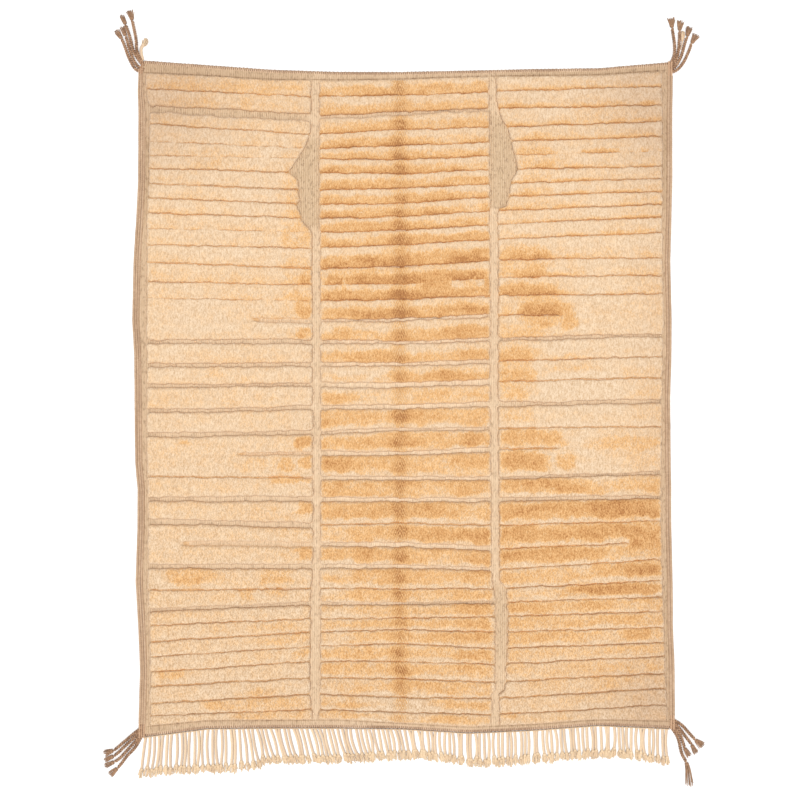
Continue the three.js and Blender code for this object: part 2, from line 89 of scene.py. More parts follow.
# %% The outline: sides and ends
SIDES = table(
    "y leftEdge leftPile rightPile rightEdge",
    (1550, -1217, -1187, 1190, 1242),
    (1420, -1221, -1184, 1192, 1242),
    (1320, -1218, -1168, 1195, 1240),
    (1000, -1220, -1170, 1195, 1240),
    (820, -1229, -1180, 1195, 1236),
    (630, -1241, -1180, 1195, 1231),
    (360, -1247, -1180, 1200, 1237),
    (200, -1238, -1180, 1198, 1236),
    (0, -1236, -1180, 1195, 1230),
    (-300, -1233, -1180, 1191, 1233),
    (-420, -1222, -1175, 1190, 1235),
    (-600, -1223, -1175, 1190, 1235),
    (-850, -1231, -1175, 1196, 1242),
    (-1050, -1219, -1170, 1202, 1243),
    (-1250, -1211, -1165, 1210, 1251),
    (-1400, -1215, -1165, 1215, 1252),
    (-1540, -1219, -1165, 1218, 1253),
)
ENDS = table(
    "x topEdge topPile bottomPile bottomEdge",
    (-1215, 1557, 1495, -1510, -1565),
    (-900, 1534, 1480, -1480, -1523),
    (-600, 1513, 1461, -1479, -1520),
    (-300, 1503, 1459, -1477, -1520),
    (0, 1503, 1463, -1493, -1524),
    (300, 1509, 1474, -1511, -1543),
    (600, 1516, 1479, -1498, -1530),
    (900, 1520, 1482, -1476, -1508),
    (1240, 1549, 1503, -1483, -1524),
)

# %% The grooves: their heights at five stations, how far they gape, and where a short one starts and ends
STATIONS = (-1165, -405, 0, 425, 1185)
GROOVES = table(
    "left lineLeft middle lineRight right gapLeft gapMiddle gapRight from to",
    (1420, 1385, 1390, 1410, 1430, 2, 2, 2),
    (1330, 1290, 1310, 1330, 1345, 30, 12, 2),
    (1260, 1210, 1235, 1245, 1270, 2, 2, 2),
    (1180, 1145, 1160, 1180, 1200, 0, 2, 2),
    (1115, 1100, 1095, 1115, 1135, 0, 2, 0),
    (1055, 1035, 1030, 1050, 1065, 2, 2, 2),
    (985, 955, 965, 985, 1010, 4, 2, 2),
    (920, 890, 895, 925, 950, 2, 2, 2),
    (850, 825, 835, 860, 890, 2, 2, 2),
    (780, 760, 770, 800, 830, 0, 2, 2),
    (705, 690, 705, 730, 760, 2, 2, 2),
    (625, 595, 605, 635, 645, 4, 2, 2),
    (535, 520, 525, 555, 565, 2, 0, 2),
    (460, 445, 455, 470, 480, 0, 2, 2),
    (375, 355, 360, 380, 390, 14, 8, 2, -650, 690),
    (260, 260, 255, 270, 290, 14, 10, 10),
    (150, 155, 155, 170, 190, 14, 12, 2),
    (55, 60, 60, 75, 95, 12, 18, 4),
    (-60, -45, -40, -30, -15, 14, 14, 14),
    (-170, -160, -145, -140, -130, 14, 10, 4),
    (-260, -255, -255, -235, -225, 10, 14, 4, -720, 680),
    (-360, -365, -370, -370, -345, 4, 10, 9),
    (-465, -465, -470, -470, -455, 18, 14, 12),
    (-570, -585, -575, -585, -565, 18, 4, 2),
    (-665, -675, -675, -695, -660, 16, 14, 2, -980, 1000),
    (-775, -775, -775, -790, -740, 14, 12, 2),
    (-885, -875, -875, -875, -840, 4, 2, 2),
    (-975, -945, -945, -940, -915, 10, 8, 2),
    (-1045, -1015, -1010, -1005, -980, 2, 2, 2),
    (-1120, -1075, -1065, -1075, -1055, 4, 2, 2),
    (-1190, -1140, -1130, -1150, -1125, 2, 2, 2),
    (-1260, -1210, -1210, -1225, -1185, 2, 2, 2),
    (-1325, -1285, -1290, -1305, -1265, 4, 4, 4),
    (-1405, -1360, -1375, -1380, -1335, 4, 4, 4),
    (-1460, -1430, -1445, -1455, -1410, 2, 2, 2),
)
GROOVE_COUNT = len(GROOVES["left"])

# %% The two flat-woven lines, each with a half-lozenge at its side
LEFT_LINE = table(
    "y from to",
    (1475, -419, -386),
    (1214, -423, -389),
    (1140, -460, -387),
    (1058, -510, -387),
    (1040, -524, -387),
    (1003, -483, -387),
    (911, -474, -387),
    (888, -492, -387),
    (842, -465, -387),
    (814, -460, -386),
    (768, -419, -386),
    (313, -414, -384),
    (-147, -412, -382),
    (-745, -412, -384),
    (-929, -423, -384),
    (-1343, -425, -384),
    (-1412, -423, -384),
    (-1480, -410, -394),
)
RIGHT_LINE = table(
    "y from to",
    (1486, 398, 428),
    (1371, 398, 428),
    (1325, 399, 437),
    (1279, 400, 455),
    (1233, 400, 483),
    (1140, 400, 506),
    (1058, 401, 529),
    (1003, 401, 497),
    (911, 401, 483),
    (879, 402, 469),
    (867, 402, 432),
    (727, 402, 435),
    (-147, 405, 437),
    (-837, 412, 442),
    (-874, 419, 469),
    (-929, 428, 478),
    (-1113, 426, 478),
    (-1343, 428, 467),
    (-1366, 412, 439),
    (-1500, 407, 442),
)
print("grooves:", GROOVE_COUNT, "bands:", GROOVE_COUNT + 1)

# %% [markdown]
# ## Uneven by hand, and the same each time
# Wool looks like wool because nothing in it repeats. Random numbers give that, and a seed gives the same
# ones on every run. This helper makes smooth hills and hollows: a square lattice of random heights, with a
# soft blend between its corners. It answers for a whole array of points at once, which is quick.

# %% Smooth random hills
LATTICE = 256


def wander(x, y, across, along, seed):
    """Smooth random heights from -1 to 1, with hills about that many millimetres apart."""
    heights = np.random.default_rng(seed).uniform(-1, 1, (LATTICE, LATTICE))
    u = np.asarray(x, float) / across + LATTICE / 2
    v = np.asarray(y, float) / along + LATTICE / 2
    i, j = np.floor(u).astype(int), np.floor(v).astype(int)
    s, t = u - i, v - j
    s, t = s * s * (3 - 2 * s), t * t * (3 - 2 * t)

    def corner(a, b):
        return heights[a % LATTICE, b % LATTICE]

    low = corner(i, j) * (1 - s) + corner(i + 1, j) * s
    high = corner(i, j + 1) * (1 - s) + corner(i + 1, j + 1) * s
    return low * (1 - t) + high * t


def ease(low, high, value):
    """0 up to low, 1 from high on, and a soft step between them."""
    share = np.clip((np.asarray(value, float) - low) / (high - low), 0, 1)
    return share * share * (3 - 2 * share)


# %% [markdown]
# ## Helpers for working on a mesh
# An operator works on all that is selected, so each step starts by selecting one thing only. Points can be
# read from a mesh into one array, moved by a formula, and written back, as a sculptor would push them.

# %% Selecting, reading and moving points
def only(*pieces):
    """Selects these pieces and nothing else."""
    bpy.ops.object.select_all(action="DESELECT")
    for piece in pieces:
        piece.select_set(True)
    bpy.context.view_layer.objects.active = pieces[0]


def points_of(piece):
    """A mesh's points in millimetres."""
    flat = np.empty(len(piece.data.vertices) * 3)
    piece.data.vertices.foreach_get("co", flat)
    return flat.reshape(-1, 3) / MM


def move_points(piece, points):
    """Writes points in millimetres back to a mesh."""
    piece.data.vertices.foreach_set("co", (np.asarray(points, float) * MM).ravel())
    piece.data.update()


def paint(piece, name, values):
    """Stores one number for each point of a mesh, for its material to read."""
    layer = piece.data.attributes.get(name) or piece.data.attributes.new(name, "FLOAT", "POINT")
    layer.data.foreach_set("value", np.asarray(values, np.float32))


def joined(name, pieces):
    """Joins pieces into one mesh with a name of its own."""
    only(*pieces)
    if len(pieces) > 1:
        bpy.ops.object.join()
    whole = bpy.context.view_layer.objects.active
    whole.name = whole.data.name = name
    return whole


def edit(piece, select="SELECT"):
    """Enters edit mode on one piece, with all of it selected or none."""
    only(piece)
    bpy.ops.object.mode_set(mode="EDIT")
    bpy.ops.mesh.select_all(action=select)


def leave_edit():
    bpy.ops.object.mode_set(mode="OBJECT")


def triangles_of(piece):
    return sum(len(face.vertices) - 2 for face in piece.data.polygons)


def settle(piece, nodes, finish):
    """Gives a finished piece its place, its material and the plain node that it stands for."""
    only(piece)
    bpy.ops.object.transform_apply(location=True, rotation=True, scale=True)
    piece.data.materials.clear()
    piece.data.materials.append(finish)
    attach(piece, "root")
    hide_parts(*nodes)
    print(f"{piece.name}: {triangles_of(piece)} triangles")
    return piece


# %% [markdown]
# ## Materials from nodes
# Every finish here is a small tree of nodes in front of one Principled shader. These helpers add a node, set
# its sockets and link it, so that each material later reads as a list of what it is made of.

# %% Node helpers
def wool(name, sheen):
    """A new material with a matt wool shader. Returns the material, its tree and its shader."""
    finish = bpy.data.materials.new(name)
    finish.use_nodes = True
    shader = finish.node_tree.nodes["Principled BSDF"]
    shader.inputs["Roughness"].default_value = 0.95
    shader.inputs["Specular IOR Level"].default_value = 0.2
    shader.inputs["Sheen Weight"].default_value = sheen
    shader.inputs["Sheen Roughness"].default_value = 0.6
    return finish, finish.node_tree, shader


def node(tree, kind, settings=(), **sockets):
    """Adds a node. A socket that is given another node's output is linked, and any other value is set."""
    made = tree.nodes.new(kind)
    for key, value in dict(settings).items():
        setattr(made, key, value)
    for key, value in sockets.items():
        socket = made.inputs[int(key[1:]) if key[1:].isdigit() else key.replace("_", " ")]
        if isinstance(value, bpy.types.NodeSocket):
            tree.links.new(value, socket)
        else:
            socket.default_value = value
    return made


def places(tree, stretch):
    """Object coordinates in metres, stretched by these factors."""
    where = node(tree, "ShaderNodeTexCoord").outputs["Object"]
    return node(tree, "ShaderNodeMapping", Vector=where, Scale=stretch).outputs["Vector"]


def grain(tree, vector, scale, detail=3.0, distortion=0.0):
    """Noise from 0 to 1 over a vector."""
    made = node(tree, "ShaderNodeTexNoise", Vector=vector, Scale=scale, Detail=detail, Distortion=distortion)
    return made.outputs["Fac"]


def where_on_rug(tree):
    """Object coordinates in metres, with one output for each axis."""
    where = node(tree, "ShaderNodeTexCoord").outputs["Object"]
    return node(tree, "ShaderNodeSeparateXYZ", Vector=where).outputs


def maths(tree, kind, a, b=0.0):
    """One step of arithmetic on one or two values."""
    return node(tree, "ShaderNodeMath", {"operation": kind}, _0=a, _1=b).outputs[0]


def times(tree, a, b):
    return maths(tree, "MULTIPLY", a, b)


def plus(tree, first, *others):
    """The sum of values, each added to those before it."""
    total = first
    for value in others:
        total = maths(tree, "ADD", total, value)
    return total


def spread(tree, value, from_low, from_high, to_low, to_high):
    """Moves a value from one range to another, and keeps it inside."""
    made = node(tree, "ShaderNodeMapRange", Value=value)
    ends = {"From Min": from_low, "From Max": from_high, "To Min": to_low, "To Max": to_high}
    for key, number in ends.items():
        made.inputs[key].default_value = number
    return made.outputs["Result"]


def ramp(tree, value, *stops):
    """Colours along a value from 0 to 1: each stop is a place and a colour."""
    made = node(tree, "ShaderNodeValToRGB", Fac=value)
    elements = made.color_ramp.elements
    for i, (place, colour) in enumerate(stops):
        stop = elements[i] if i < len(elements) else elements.new(place)
        stop.position, stop.color = place, (*colour, 1)
    return made.outputs["Color"]


def blend(tree, kind, share, a, b):
    """Blends two colours."""
    made = node(tree, "ShaderNodeMix", {"data_type": "RGBA", "blend_type": kind})
    for key, value in ((0, share), (6, a), (7, b)):
        if isinstance(value, bpy.types.NodeSocket):
            tree.links.new(value, made.inputs[key])
        else:
            made.inputs[key].default_value = value if key == 0 else (*value, 1)
    return made.outputs[2]


def relief(tree, shader, height, strength, distance):
    """A bump from a height, in front of the shader's normal."""
    made = node(tree, "ShaderNodeBump", Height=height, Strength=strength, Distance=distance)
    tree.links.new(made.outputs["Normal"], shader.inputs["Normal"])


def painted(tree, name):
    """The number that was stored under this name at each point."""
    return node(tree, "ShaderNodeAttribute", {"attribute_name": name}).outputs["Fac"]


# %% [markdown]
# ## Reading the outline
# The rug's own measures come together here: where a groove runs at a place across the rug, how wide it
# gapes, and where each of the three panels of pile starts and ends.

# %% Grooves and panels
GAP_COLUMNS = {"left": "gapLeft", "middle": "gapMiddle", "right": "gapRight"}
STATION_COLUMNS = ("left", "lineLeft", "middle", "lineRight", "right")
SLIT = 1.5  # floor width of a closed groove
NARROW = 0.76  # depth of a groove that is half closed, as a share of the pile
FAINT = 0.24  # and of one that the pile nearly hides
FADE = 55.0  # how long a short groove takes to fade out
CROWDED = 10.0  # how much less room the left cords take together near the upper end


def side(column, y):
    return read(SIDES, "y", column, y)


def end(column, x):
    return read(ENDS, "x", column, x)


def cords_wide(name, y):
    """How wide the cords of one side are together."""
    return SIDE_WIDTH[name] - (CROWDED * ease(1300, 1480, y) if name == "left" else 0)


def groove_y(index, x):
    """The height of a groove's middle, with a small wander that no ruler drew."""
    heights = [GROOVES[column][index] for column in STATION_COLUMNS]
    drift = 2.2 * wander(x, index * 700.0, 90, 90, 11) + 1.2 * wander(x, index * 300.0, 17, 17, 12)
    teeth = 2.2 * wander(x, index * 230.0, 36, 36, 18) + 1.5 * wander(x, index * 150.0, 8, 8, 45)
    return np.interp(x, STATIONS, heights) + drift + teeth


def groove_depth(index, panel, x):
    """1 where a groove reaches the ground, 0 where there is none. Wool half closes a narrow one."""
    first, last = GROOVES["from"][index], GROOVES["to"][index]
    gap = GROOVES[GAP_COLUMNS[panel]][index]
    breath = 0.3 * wander(x, index * 500.0, 150, 60, 13) + 0.26 * wander(x, index * 400.0, 30, 60, 14)
    depth = np.clip((NARROW if gap else FAINT) + breath, 0.04, 0.97)
    if gap > WIDE:
        depth = np.ones_like(depth)
    if not math.isnan(first):
        depth = depth * ease(first - FADE, first, x) * (1 - ease(last, last + FADE, x))
    return depth


def groove_half(index, panel, x):
    """Half of a groove's floor width. It breathes along the groove."""
    gap = max(GROOVES[GAP_COLUMNS[panel]][index], SLIT)
    swell = 0.3 * wander(x, index * 450.0, 40, 60, 15) + 0.3 * wander(x, index * 650.0, 170, 60, 46)
    return gap / 2 * (1 + swell)


PANELS = {
    "left": (lambda y: side("leftPile", y), lambda y: read(LEFT_LINE, "y", "from", y)),
    "middle": (lambda y: read(LEFT_LINE, "y", "to", y), lambda y: read(RIGHT_LINE, "y", "from", y)),
    "right": (lambda y: read(RIGHT_LINE, "y", "to", y), lambda y: side("rightPile", y)),
}
for panel, (start, stop) in PANELS.items():
    print(f"{panel} panel: {float(stop(0) - start(0)):.0f} mm wide at the middle")

# %% [markdown]
# ## How much amber the wool shows
# The cream wool is uneven: amber gathers down the middle of the rug and along the edge of each band that
# faces the rug's middle, and lies in soft patches. Down the middle and in the patches it is dye, as abrash is
# on a real rug. Along the band edges it is partly dye and partly painted shade, where the leaning pile looks
# darker. It could be painted on an image, but then it would be fixed to one picture. Here each point of the
# pile gets one number, its amber, from a few plain rules: the panel it is in, its place in its band, and a
# list of soft patches. A patch with a number below zero takes amber away. A second number, the dusk, makes
# the wool darker and greyer towards the corners and the right side, and a third follows the crease down the
# middle panel, where the tufts part to both sides: it lowers the pile there and paints it darker, as painted
# shade.

# %% Patches of amber: across from and to, along from and to, and how strong
PATCHES = table(
    "x0 x1 y0 y1 strong",
    (-1185, -420, 1415, 1490, 0.22),
    (-1100, -560, 1340, 1400, 0.12),
    (-545, -425, 265, 1185, 0.20),
    (-240, 120, 500, 670, 0.25),
    (-420, 60, -60, 130, -0.32),
    (100, 310, -230, -40, -0.25),
    (-400, 400, 340, 690, 0.17),
    (-200, 200, -1500, -1340, -0.40),
    (-790, -430, -1500, -1340, 0.20),
    (430, 640, 130, 330, 0.22),
    (640, 880, -600, -430, -0.25),
    (300, 500, -790, -600, 0.20),
    (530, 680, 870, 1250, 0.22),
    (-400, -230, -1150, -560, -0.30),
    (660, 1040, -60, 120, -0.25),
    (640, 910, 115, 195, 0.24),
    (850, 1190, -235, -180, 0.26),
    (445, 600, -100, -20, 0.18),
    (-475, -425, 520, 590, 0.55),
    (-485, -425, 370, 450, 0.55),
    (-475, -425, 280, 315, 0.55),
    (-490, -425, -230, -175, 0.75),
    (-460, -425, -325, -275, 0.55),
    (-555, -510, -330, -285, 0.40),
    (-610, -425, -385, -360, 0.45),
    (-475, -425, -525, -470, 0.45),
    (-475, -410, -745, -680, 0.50),
    (-1095, -865, -845, -780, 0.35),
    (-1025, -935, -885, -830, 0.30),
    (-635, -520, -910, -780, 0.30),
    (-740, -695, -915, -885, 0.30),
    (-1120, -1025, -1290, -1240, 0.35),
    (-495, -435, -1205, -1150, 0.30),
    (-705, -430, -1135, -1030, 0.20),
    (-910, -795, -1435, -1390, 0.30),
    (-910, -840, 100, 150, 0.25),
    (-1025, -995, -215, -195, 0.25),
    (-380, -105, 545, 590, 0.45),
    (-380, -265, 600, 645, 0.35),
    (215, 400, 625, 645, 0.35),
    (285, 400, 495, 590, 0.35),
    (-60, 80, 450, 505, 0.35),
    (-335, 80, 375, 415, 0.35),
    (170, 400, 395, 440, 0.35),
    (170, 375, 275, 335, 0.40),
    (125, 355, 90, 145, 0.35),
    (255, 355, -230, -160, 0.35),
    (-360, -265, -340, -285, 0.30),
    (240, 400, -1120, -885, 0.25),
    (215, 400, -1260, -1160, 0.25),
    (445, 655, 550, 705, 0.5),
    (445, 700, 470, 530, 0.75),
    (540, 720, 335, 470, 0.85),
    (720, 780, 315, 430, 0.50),
    (445, 585, 0, 220, 0.50),
    (425, 745, -230, -145, 0.60),
    (445, 665, -330, -250, 0.85),
    (705, 775, -320, -265, 0.45),
    (445, 860, -430, -370, 0.35),
    (445, 1190, -675, -460, 0.34),
    (860, 1190, -545, -460, 0.45),
    (1035, 1190, -660, -560, 0.30),
    (445, 905, -745, -680, 0.45),
    (1035, 1190, -835, -745, 0.55),
    (770, 1190, -895, -850, 0.70),
    (490, 675, -985, -930, 0.35),
    (815, 975, -965, -930, 0.35),
    (1000, 1135, -1100, -1065, 0.40),
    (445, 515, -1465, -1435, 0.40),
)
SPINE = -14.0  # where the crease down the middle panel lies
SPINE_WIDE = 34.0


def patches(x, y):
    """The sum of the soft patches at each point. Noise frays their edges."""
    x = x + 20 * wander(x, y, 34, 24, 21) + 8 * wander(x, y, 12, 12, 27)
    y = y + 10 * wander(x, y, 40, 25, 22) + 5 * wander(x, y, 12, 12, 28)
    total = np.zeros_like(x)
    for x0, x1, y0, y1, strong in zip(*(PATCHES[name] for name in ("x0", "x1", "y0", "y1", "strong"))):
        across = abs(x - (x0 + x1) / 2) / ((x1 - x0) / 2 + 12)
        along = abs(y - (y0 + y1) / 2) / ((y1 - y0) / 2 + 8)
        total += strong * np.clip(1.25 - across**3 - along**3, 0, 1)
    return total


def rim_at(x, y, share):
    """How far into the amber part of its band a point is: partly dye and partly painted shade of the leaning
    pile, along the edge that faces the rug's middle. The edge away from the rug's middle stays pale.
    """
    upper = ease(-150, 150, y)
    fray = 0.13 * wander(x, y, 90, 40, 23) + 0.09 * wander(x, y, 26, 20, 24)
    down, up = share + fray, 1 - share + fray
    low_half = ease(0.13, 0.34, up) * (0.35 + 0.65 * ease(0.04, 0.2, down))
    return upper * ease(0.28, 0.62, down) + (1 - upper) * low_half


def amber_at(x, y, share, near):
    """How much amber the wool has, from 0 to 1. The share is 0 at a band's upper edge and 1 at its lower one.

    Near is how far the point lies from the closer side of its panel, where the wool stays pale too.
    """
    middle = ease(-400, -375, x) * (1 - ease(390, 415, x))
    middle = middle * (1 - 0.3 * ease(850, 1150, y) - 0.3 * ease(650, 950, -y))
    right_low = ease(415, 440, x) * (1 - ease(-420, -330, y)) * ease(-1450, -750, y)
    strong = 0.07 + 0.38 * middle + 0.38 * right_low
    # The amber comes and goes along a band, and a faint cloud of dye lies over all the wool.
    flow = 1.0 + 0.55 * wander(x, y, 160, 42, 29) + 0.28 * wander(x, y, 40, 22, 30)
    cloud = 0.06 * wander(x, y, 220, 110, 25) + 0.05 * wander(x, y, 60, 22, 26)
    # Low in the middle panel the very edges of a band stay paler, and so does the side of every panel.
    shy = middle * (1 - ease(150, 350, y)) * (1 - ease(0.04, 0.17, np.minimum(share, 1 - share)))
    clear = ease(2, 20, near + 5 * wander(x, y, 22, 14, 33))
    rim = rim_at(x, y, share) * (1 - 0.65 * shy) * (0.15 + 0.85 * clear)
    # Higher up a narrow hem of amber follows the lower edge of each band, the edge that faces the rug's
    # middle:
    # partly dye and partly painted shade of the leaning pile.
    hem = ease(0.68, 0.96, share + 0.06 * wander(x, y, 45, 20, 35)) * ease(200, 500, y)
    hem = hem * (0.07 + 0.33 * ease(-400, -375, x)) * (0.7 + 0.9 * np.maximum(wander(x, y, 80, 50, 36), -0.6))
    hem = hem * (1 - 0.8 * ease(700, 880, x) * (1 - ease(620, 760, y)))
    patch = patches(x, y) * (0.34 + 0.5 * rim) * (0.3 + 0.7 * ease(0, 9, near))
    total = 0.03 + hem + 0.03 * middle + rim * strong * flow + cloud + patch
    return total - 0.24 * np.maximum(total, 0) ** 2


def dusk_at(x, y):
    """How much darker and greyer the wool is made, from 0 to 1: most towards the corners and along the right
    side.
    """
    left, right = ease(600, 1180, -x), ease(650, 1190, x)
    top, foot = ease(800, 1430, y), ease(1050, 1450, -y)
    total = 0.95 * left * top + 0.7 * right * top + 0.7 * right * foot + 0.2 * top + 0.15 * foot
    return np.clip(total + 0.32 * ease(950, 1190, x) + 0.06 * wander(x, y, 130, 60, 34), 0, 1)


def spine_at(x, y, share):
    """How deep the crease down the middle panel is. It shows most in the middle of each band."""
    off = x - SPINE - 7 * wander(x * 0, y, 70, 70, 31)
    swell = 0.95 - 0.1 * ease(-300, 0, y) + 0.22 * wander(x * 0, y, 60, 60, 32)
    return np.exp(-((off / SPINE_WIDE) ** 2)) * swell * (0.62 + 0.38 * np.sin(np.pi * np.clip(share, 0, 1)))


# %% [markdown]
# ## A block of pile
# Between two grooves that reach the ground, the pile is one block: cut wool, about 16 mm high, whose tips
# spread over the groove and hide its walls. A displaced plane would give only straight walls. So each block
# starts as a grid primitive, and a formula sets its points: the outer rows go up the wall and over its lip,
# and the rest make the lumpy top. Rows and columns follow one rule, a share of the way across and an inset
# from both edges, so the same few numbers shape all four walls. A narrow groove doesn't part two blocks: it
# is a dip in the top of one, because the wool closes over most of it.

# %% Rows and columns of a block
FOOT = GROUND - 1.4  # the underside of a block, hidden in the ground
FLOOR = GROUND - 0.7  # the floor of a dip inside a block
ACROSS = 6.0  # how far apart the columns are
ALONG = 7.0  # and the rows
LIP_IN = (3.4, 0.0, 2.3, 6.6)  # how far in from its edge each step of a wall lies, from the foot up
LIP_RISE = (0.0, 0.60, 0.87, 1.0)
SLOPE_IN = (0.0, 3.6, 7.2, 13.0)  # the same beside a wide groove, where the pile leans back
DIP_IN = (0.3, 1.0, 2.4, 6.2)  # the same for a dip that nearly closes, where nothing overhangs
END_IN = (-1.6, 0.6, 2.4, 6.4)  # and at the ends of the pile, where its foot shows as a thin dark line
SIDE_IN = (0.0, 3.4, 7.2, 12.5)  # and beside the two lines and the borders
ROUND = 17.0  # radius of a block's corners
RAGGED = 2.7  # how far the lip strays
CALM = {"left": 0.7, "middle": 0.95, "right": 0.7}  # how much fainter the shade in a wide groove is


def steps(count):
    """A row or column for each step over a block: its share of the way, its step of the lip, and its rise."""
    low = [(0.0, i, rise) for i, rise in enumerate(LIP_RISE)]
    inner = [((k + 1) / (count + 1), len(LIP_IN) - 1, 1.0) for k in range(count)]
    high = [(1.0, i, rise) for i, rise in reversed(list(enumerate(LIP_RISE)))]
    share, step, rise = zip(*(low + inner + high))
    return np.array(share), np.array(step), np.array(rise)


def border_y(index, x):
    """The height of a band's border: a groove, or the upper or lower end of the pile."""
    if index < 0:
        return end("topPile", x)
    if index >= GROOVE_COUNT:
        return end("bottomPile", x)
    return groove_y(index, x)


def inset_y(index, panel, x, step, side_sign, dip):
    """How far in from a border each point of a wall lies, how deep the groove is there, and how wide."""
    ragged = RAGGED * wander(x, index * 90.0 + side_sign * 40, 13, 13, 16)
    if not 0 <= index < GROOVE_COUNT:
        return np.array(END_IN)[step] + ragged, np.ones_like(x), np.zeros_like(x)
    half = groove_half(index, panel, x)
    depth = groove_depth(index, panel, x) if dip else np.ones_like(x)
    wide = ease(WIDE, 2 * WIDE, 2 * half) * ease(0.5, 1, depth)
    steep = np.array(DIP_IN if dip else LIP_IN)[step]
    inset = steep * (1 - wide) + np.array(SLOPE_IN)[step] * wide
    return inset + 0.7 * ragged + half, depth, wide


def ragged_sides(panel, y):
    """Where a panel of pile starts and stops at each height. Its tufts don't keep to a straight line."""
    start, stop = PANELS[panel]
    low = start(y) + RAGGED * (wander(y * 0, y, 24, 26, 41) + 0.7 * wander(y * 0, y, 24, 9, 43))
    far = stop(y) + RAGGED * (wander(y * 0, y, 24, 26, 42) + 0.7 * wander(y * 0, y, 24, 9, 44))
    return low, far


def band_points(panel, top, bottom, dip_top, dip_bottom, columns):
    """The points of one band of a block: a row for each step down it and a column for each step across.

    Across and along depend on each other, because the grooves slant and the lines bend. So the places are
    worked out three times, each time from the last ones.
    """
    start, stop = PANELS[panel]
    c_share, c_step, c_rise = columns
    centre = (start(0.0) + stop(0.0)) / 2
    high = border_y(top, centre) - border_y(bottom, centre)
    r_share, r_step, r_rise = steps(max(1, round((high - 2 * LIP_IN[-1]) / ALONG) - 1))
    upper_half = (r_share < 0.5)[:, None]
    r_share, r_step, r_rise = r_share[:, None], r_step[:, None], r_rise[:, None]
    y = border_y(top, centre) - r_share * high + 0 * c_share
    side_in = np.array(SIDE_IN)[c_step]
    for _ in range(3):
        low, far = ragged_sides(panel, y)
        x = low + side_in + c_share * (far - low - 2 * side_in)
        near = np.minimum(x - low, far - x)
        corner = ROUND - np.sqrt(ROUND**2 - np.clip(ROUND - near, 0, ROUND) ** 2)
        in_top, depth_top, wide_top = inset_y(top, panel, x, r_step, 1, dip_top)
        in_bottom, depth_bottom, wide_bottom = inset_y(bottom, panel, x, r_step, -1, dip_bottom)
        y_top = border_y(top, x) - in_top - corner * ease(0.4, 0.6, depth_top)
        y_bottom = border_y(bottom, x) + in_bottom + corner * ease(0.4, 0.6, depth_bottom)
        y = y_top + r_share * (y_bottom - y_top)

    # A point rises as far as its row and its column let it. A dip is shallow where the wool closes over it.
    depth = np.where(upper_half, depth_top, depth_bottom)
    open_groove = ease(0, 0.2, depth)
    depth = np.maximum(depth, (1 - ease(2, 16, near)) * ease(0.4, 0.6, depth))
    dip = np.where(upper_half, dip_top, dip_bottom)
    fall = depth * (1 - r_rise)
    rise = np.minimum(1 - fall, c_rise)
    foot = np.where(dip & (c_rise > 0), FLOOR, FOOT)

    # What the materials read: the place in the band, and how deep in the groove's shade a point lies.
    share = np.clip((border_y(top, x) - y) / (border_y(top, x) - border_y(bottom, x)), 0, 1)
    share = 0.5 + (share - 0.5) * open_groove
    calm = np.where(upper_half, wide_top, wide_bottom) * CALM[panel]
    dots = 0.66 + 0.5 * wander(x, y, 11, 40, 17)
    side_dots = 0.15 * wander(x, y, 60, 10, 19)
    deep = np.clip(np.maximum(fall * (1 - calm) * dots, side_dots * (1 - c_rise)), 0, 1)
    return x, y, rise, foot, share, deep


def top_height(x, y, share):
    """How high the pile stands: slow lumps, a soft crown on each band, and tufts."""
    across, along, drift = LUMP_RUN
    lump = LUMP * np.sin(x / across) * np.sin(y / along + x / drift)
    crown = 1.1 * np.sin(np.pi * share) - 0.8
    tufts = 1.1 * wander(x, y, 14, 19, 51) + 0.9 * wander(x, y, 6.5, 9, 52)
    return PILE + lump + crown + tufts - 2.4 * spine_at(x, y, share)


# %% Making the blocks of a panel
def is_dip(index, panel):
    """True if a groove doesn't part the pile all the way across a panel."""
    start, stop = PANELS[panel]
    y = border_y(index, 0.0)
    x = np.linspace(start(y), stop(y), 20)
    return float(groove_depth(index, panel, x).min()) < 1


def block(panel, bands, columns):
    """One closed block of pile from a grid primitive."""
    parts = [
        band_points(panel, top, bottom, top != bands[0], bottom != bands[-1], columns)
        for top, bottom in zip(bands, bands[1:])
    ]
    x, y, rise, foot, share, deep = (np.concatenate(arrays) for arrays in zip(*parts))
    rows, across = x.shape
    bpy.ops.object.select_all(action="DESELECT")
    bpy.ops.mesh.primitive_grid_add(x_subdivisions=across - 1, y_subdivisions=rows - 1, size=2)
    piece = bpy.context.object
    inside = rise > 0.95
    z = foot + rise * (top_height(x, y, share) - foot)
    x = x + inside * 1.3 * wander(x, y, 6, 6, 53)
    y = y + inside * 1.5 * wander(x, y, 6, 6, 54)
    order = np.s_[::-1]
    move_points(piece, np.stack([x[order], y[order], z[order]], axis=-1).reshape(-1, 3))
    start, stop = PANELS[panel]
    near = np.minimum(x - start(y), stop(y) - x)
    paint(piece, "amber", amber_at(x, y, share, near)[order].ravel())
    paint(piece, "dusk", dusk_at(x, y)[order].ravel())
    paint(piece, "spine", spine_at(x, y, share)[order].ravel())
    paint(piece, "deep", deep[order].ravel())
    edit(piece, "DESELECT")
    bpy.ops.mesh.select_non_manifold()
    bpy.ops.mesh.edge_face_add()
    leave_edit()
    return piece


def pile_of(panel):
    """All the blocks of one panel, joined."""
    start, stop = PANELS[panel]
    columns = steps(round((stop(0.0) - start(0.0) - 2 * LIP_IN[-1]) / ACROSS) - 1)
    borders = [-1, *range(GROOVE_COUNT), GROOVE_COUNT]
    whole = [i for i in borders if not 0 <= i < GROOVE_COUNT or not is_dip(i, panel)]
    blocks = [block(panel, list(range(a, b + 1)), columns) for a, b in zip(whole, whole[1:])]
    print(f"{panel}: {len(blocks)} blocks, {len(columns[0])} columns")
    piece = joined(f"pile_{panel}", blocks)
    bpy.ops.object.shade_smooth()
    return piece
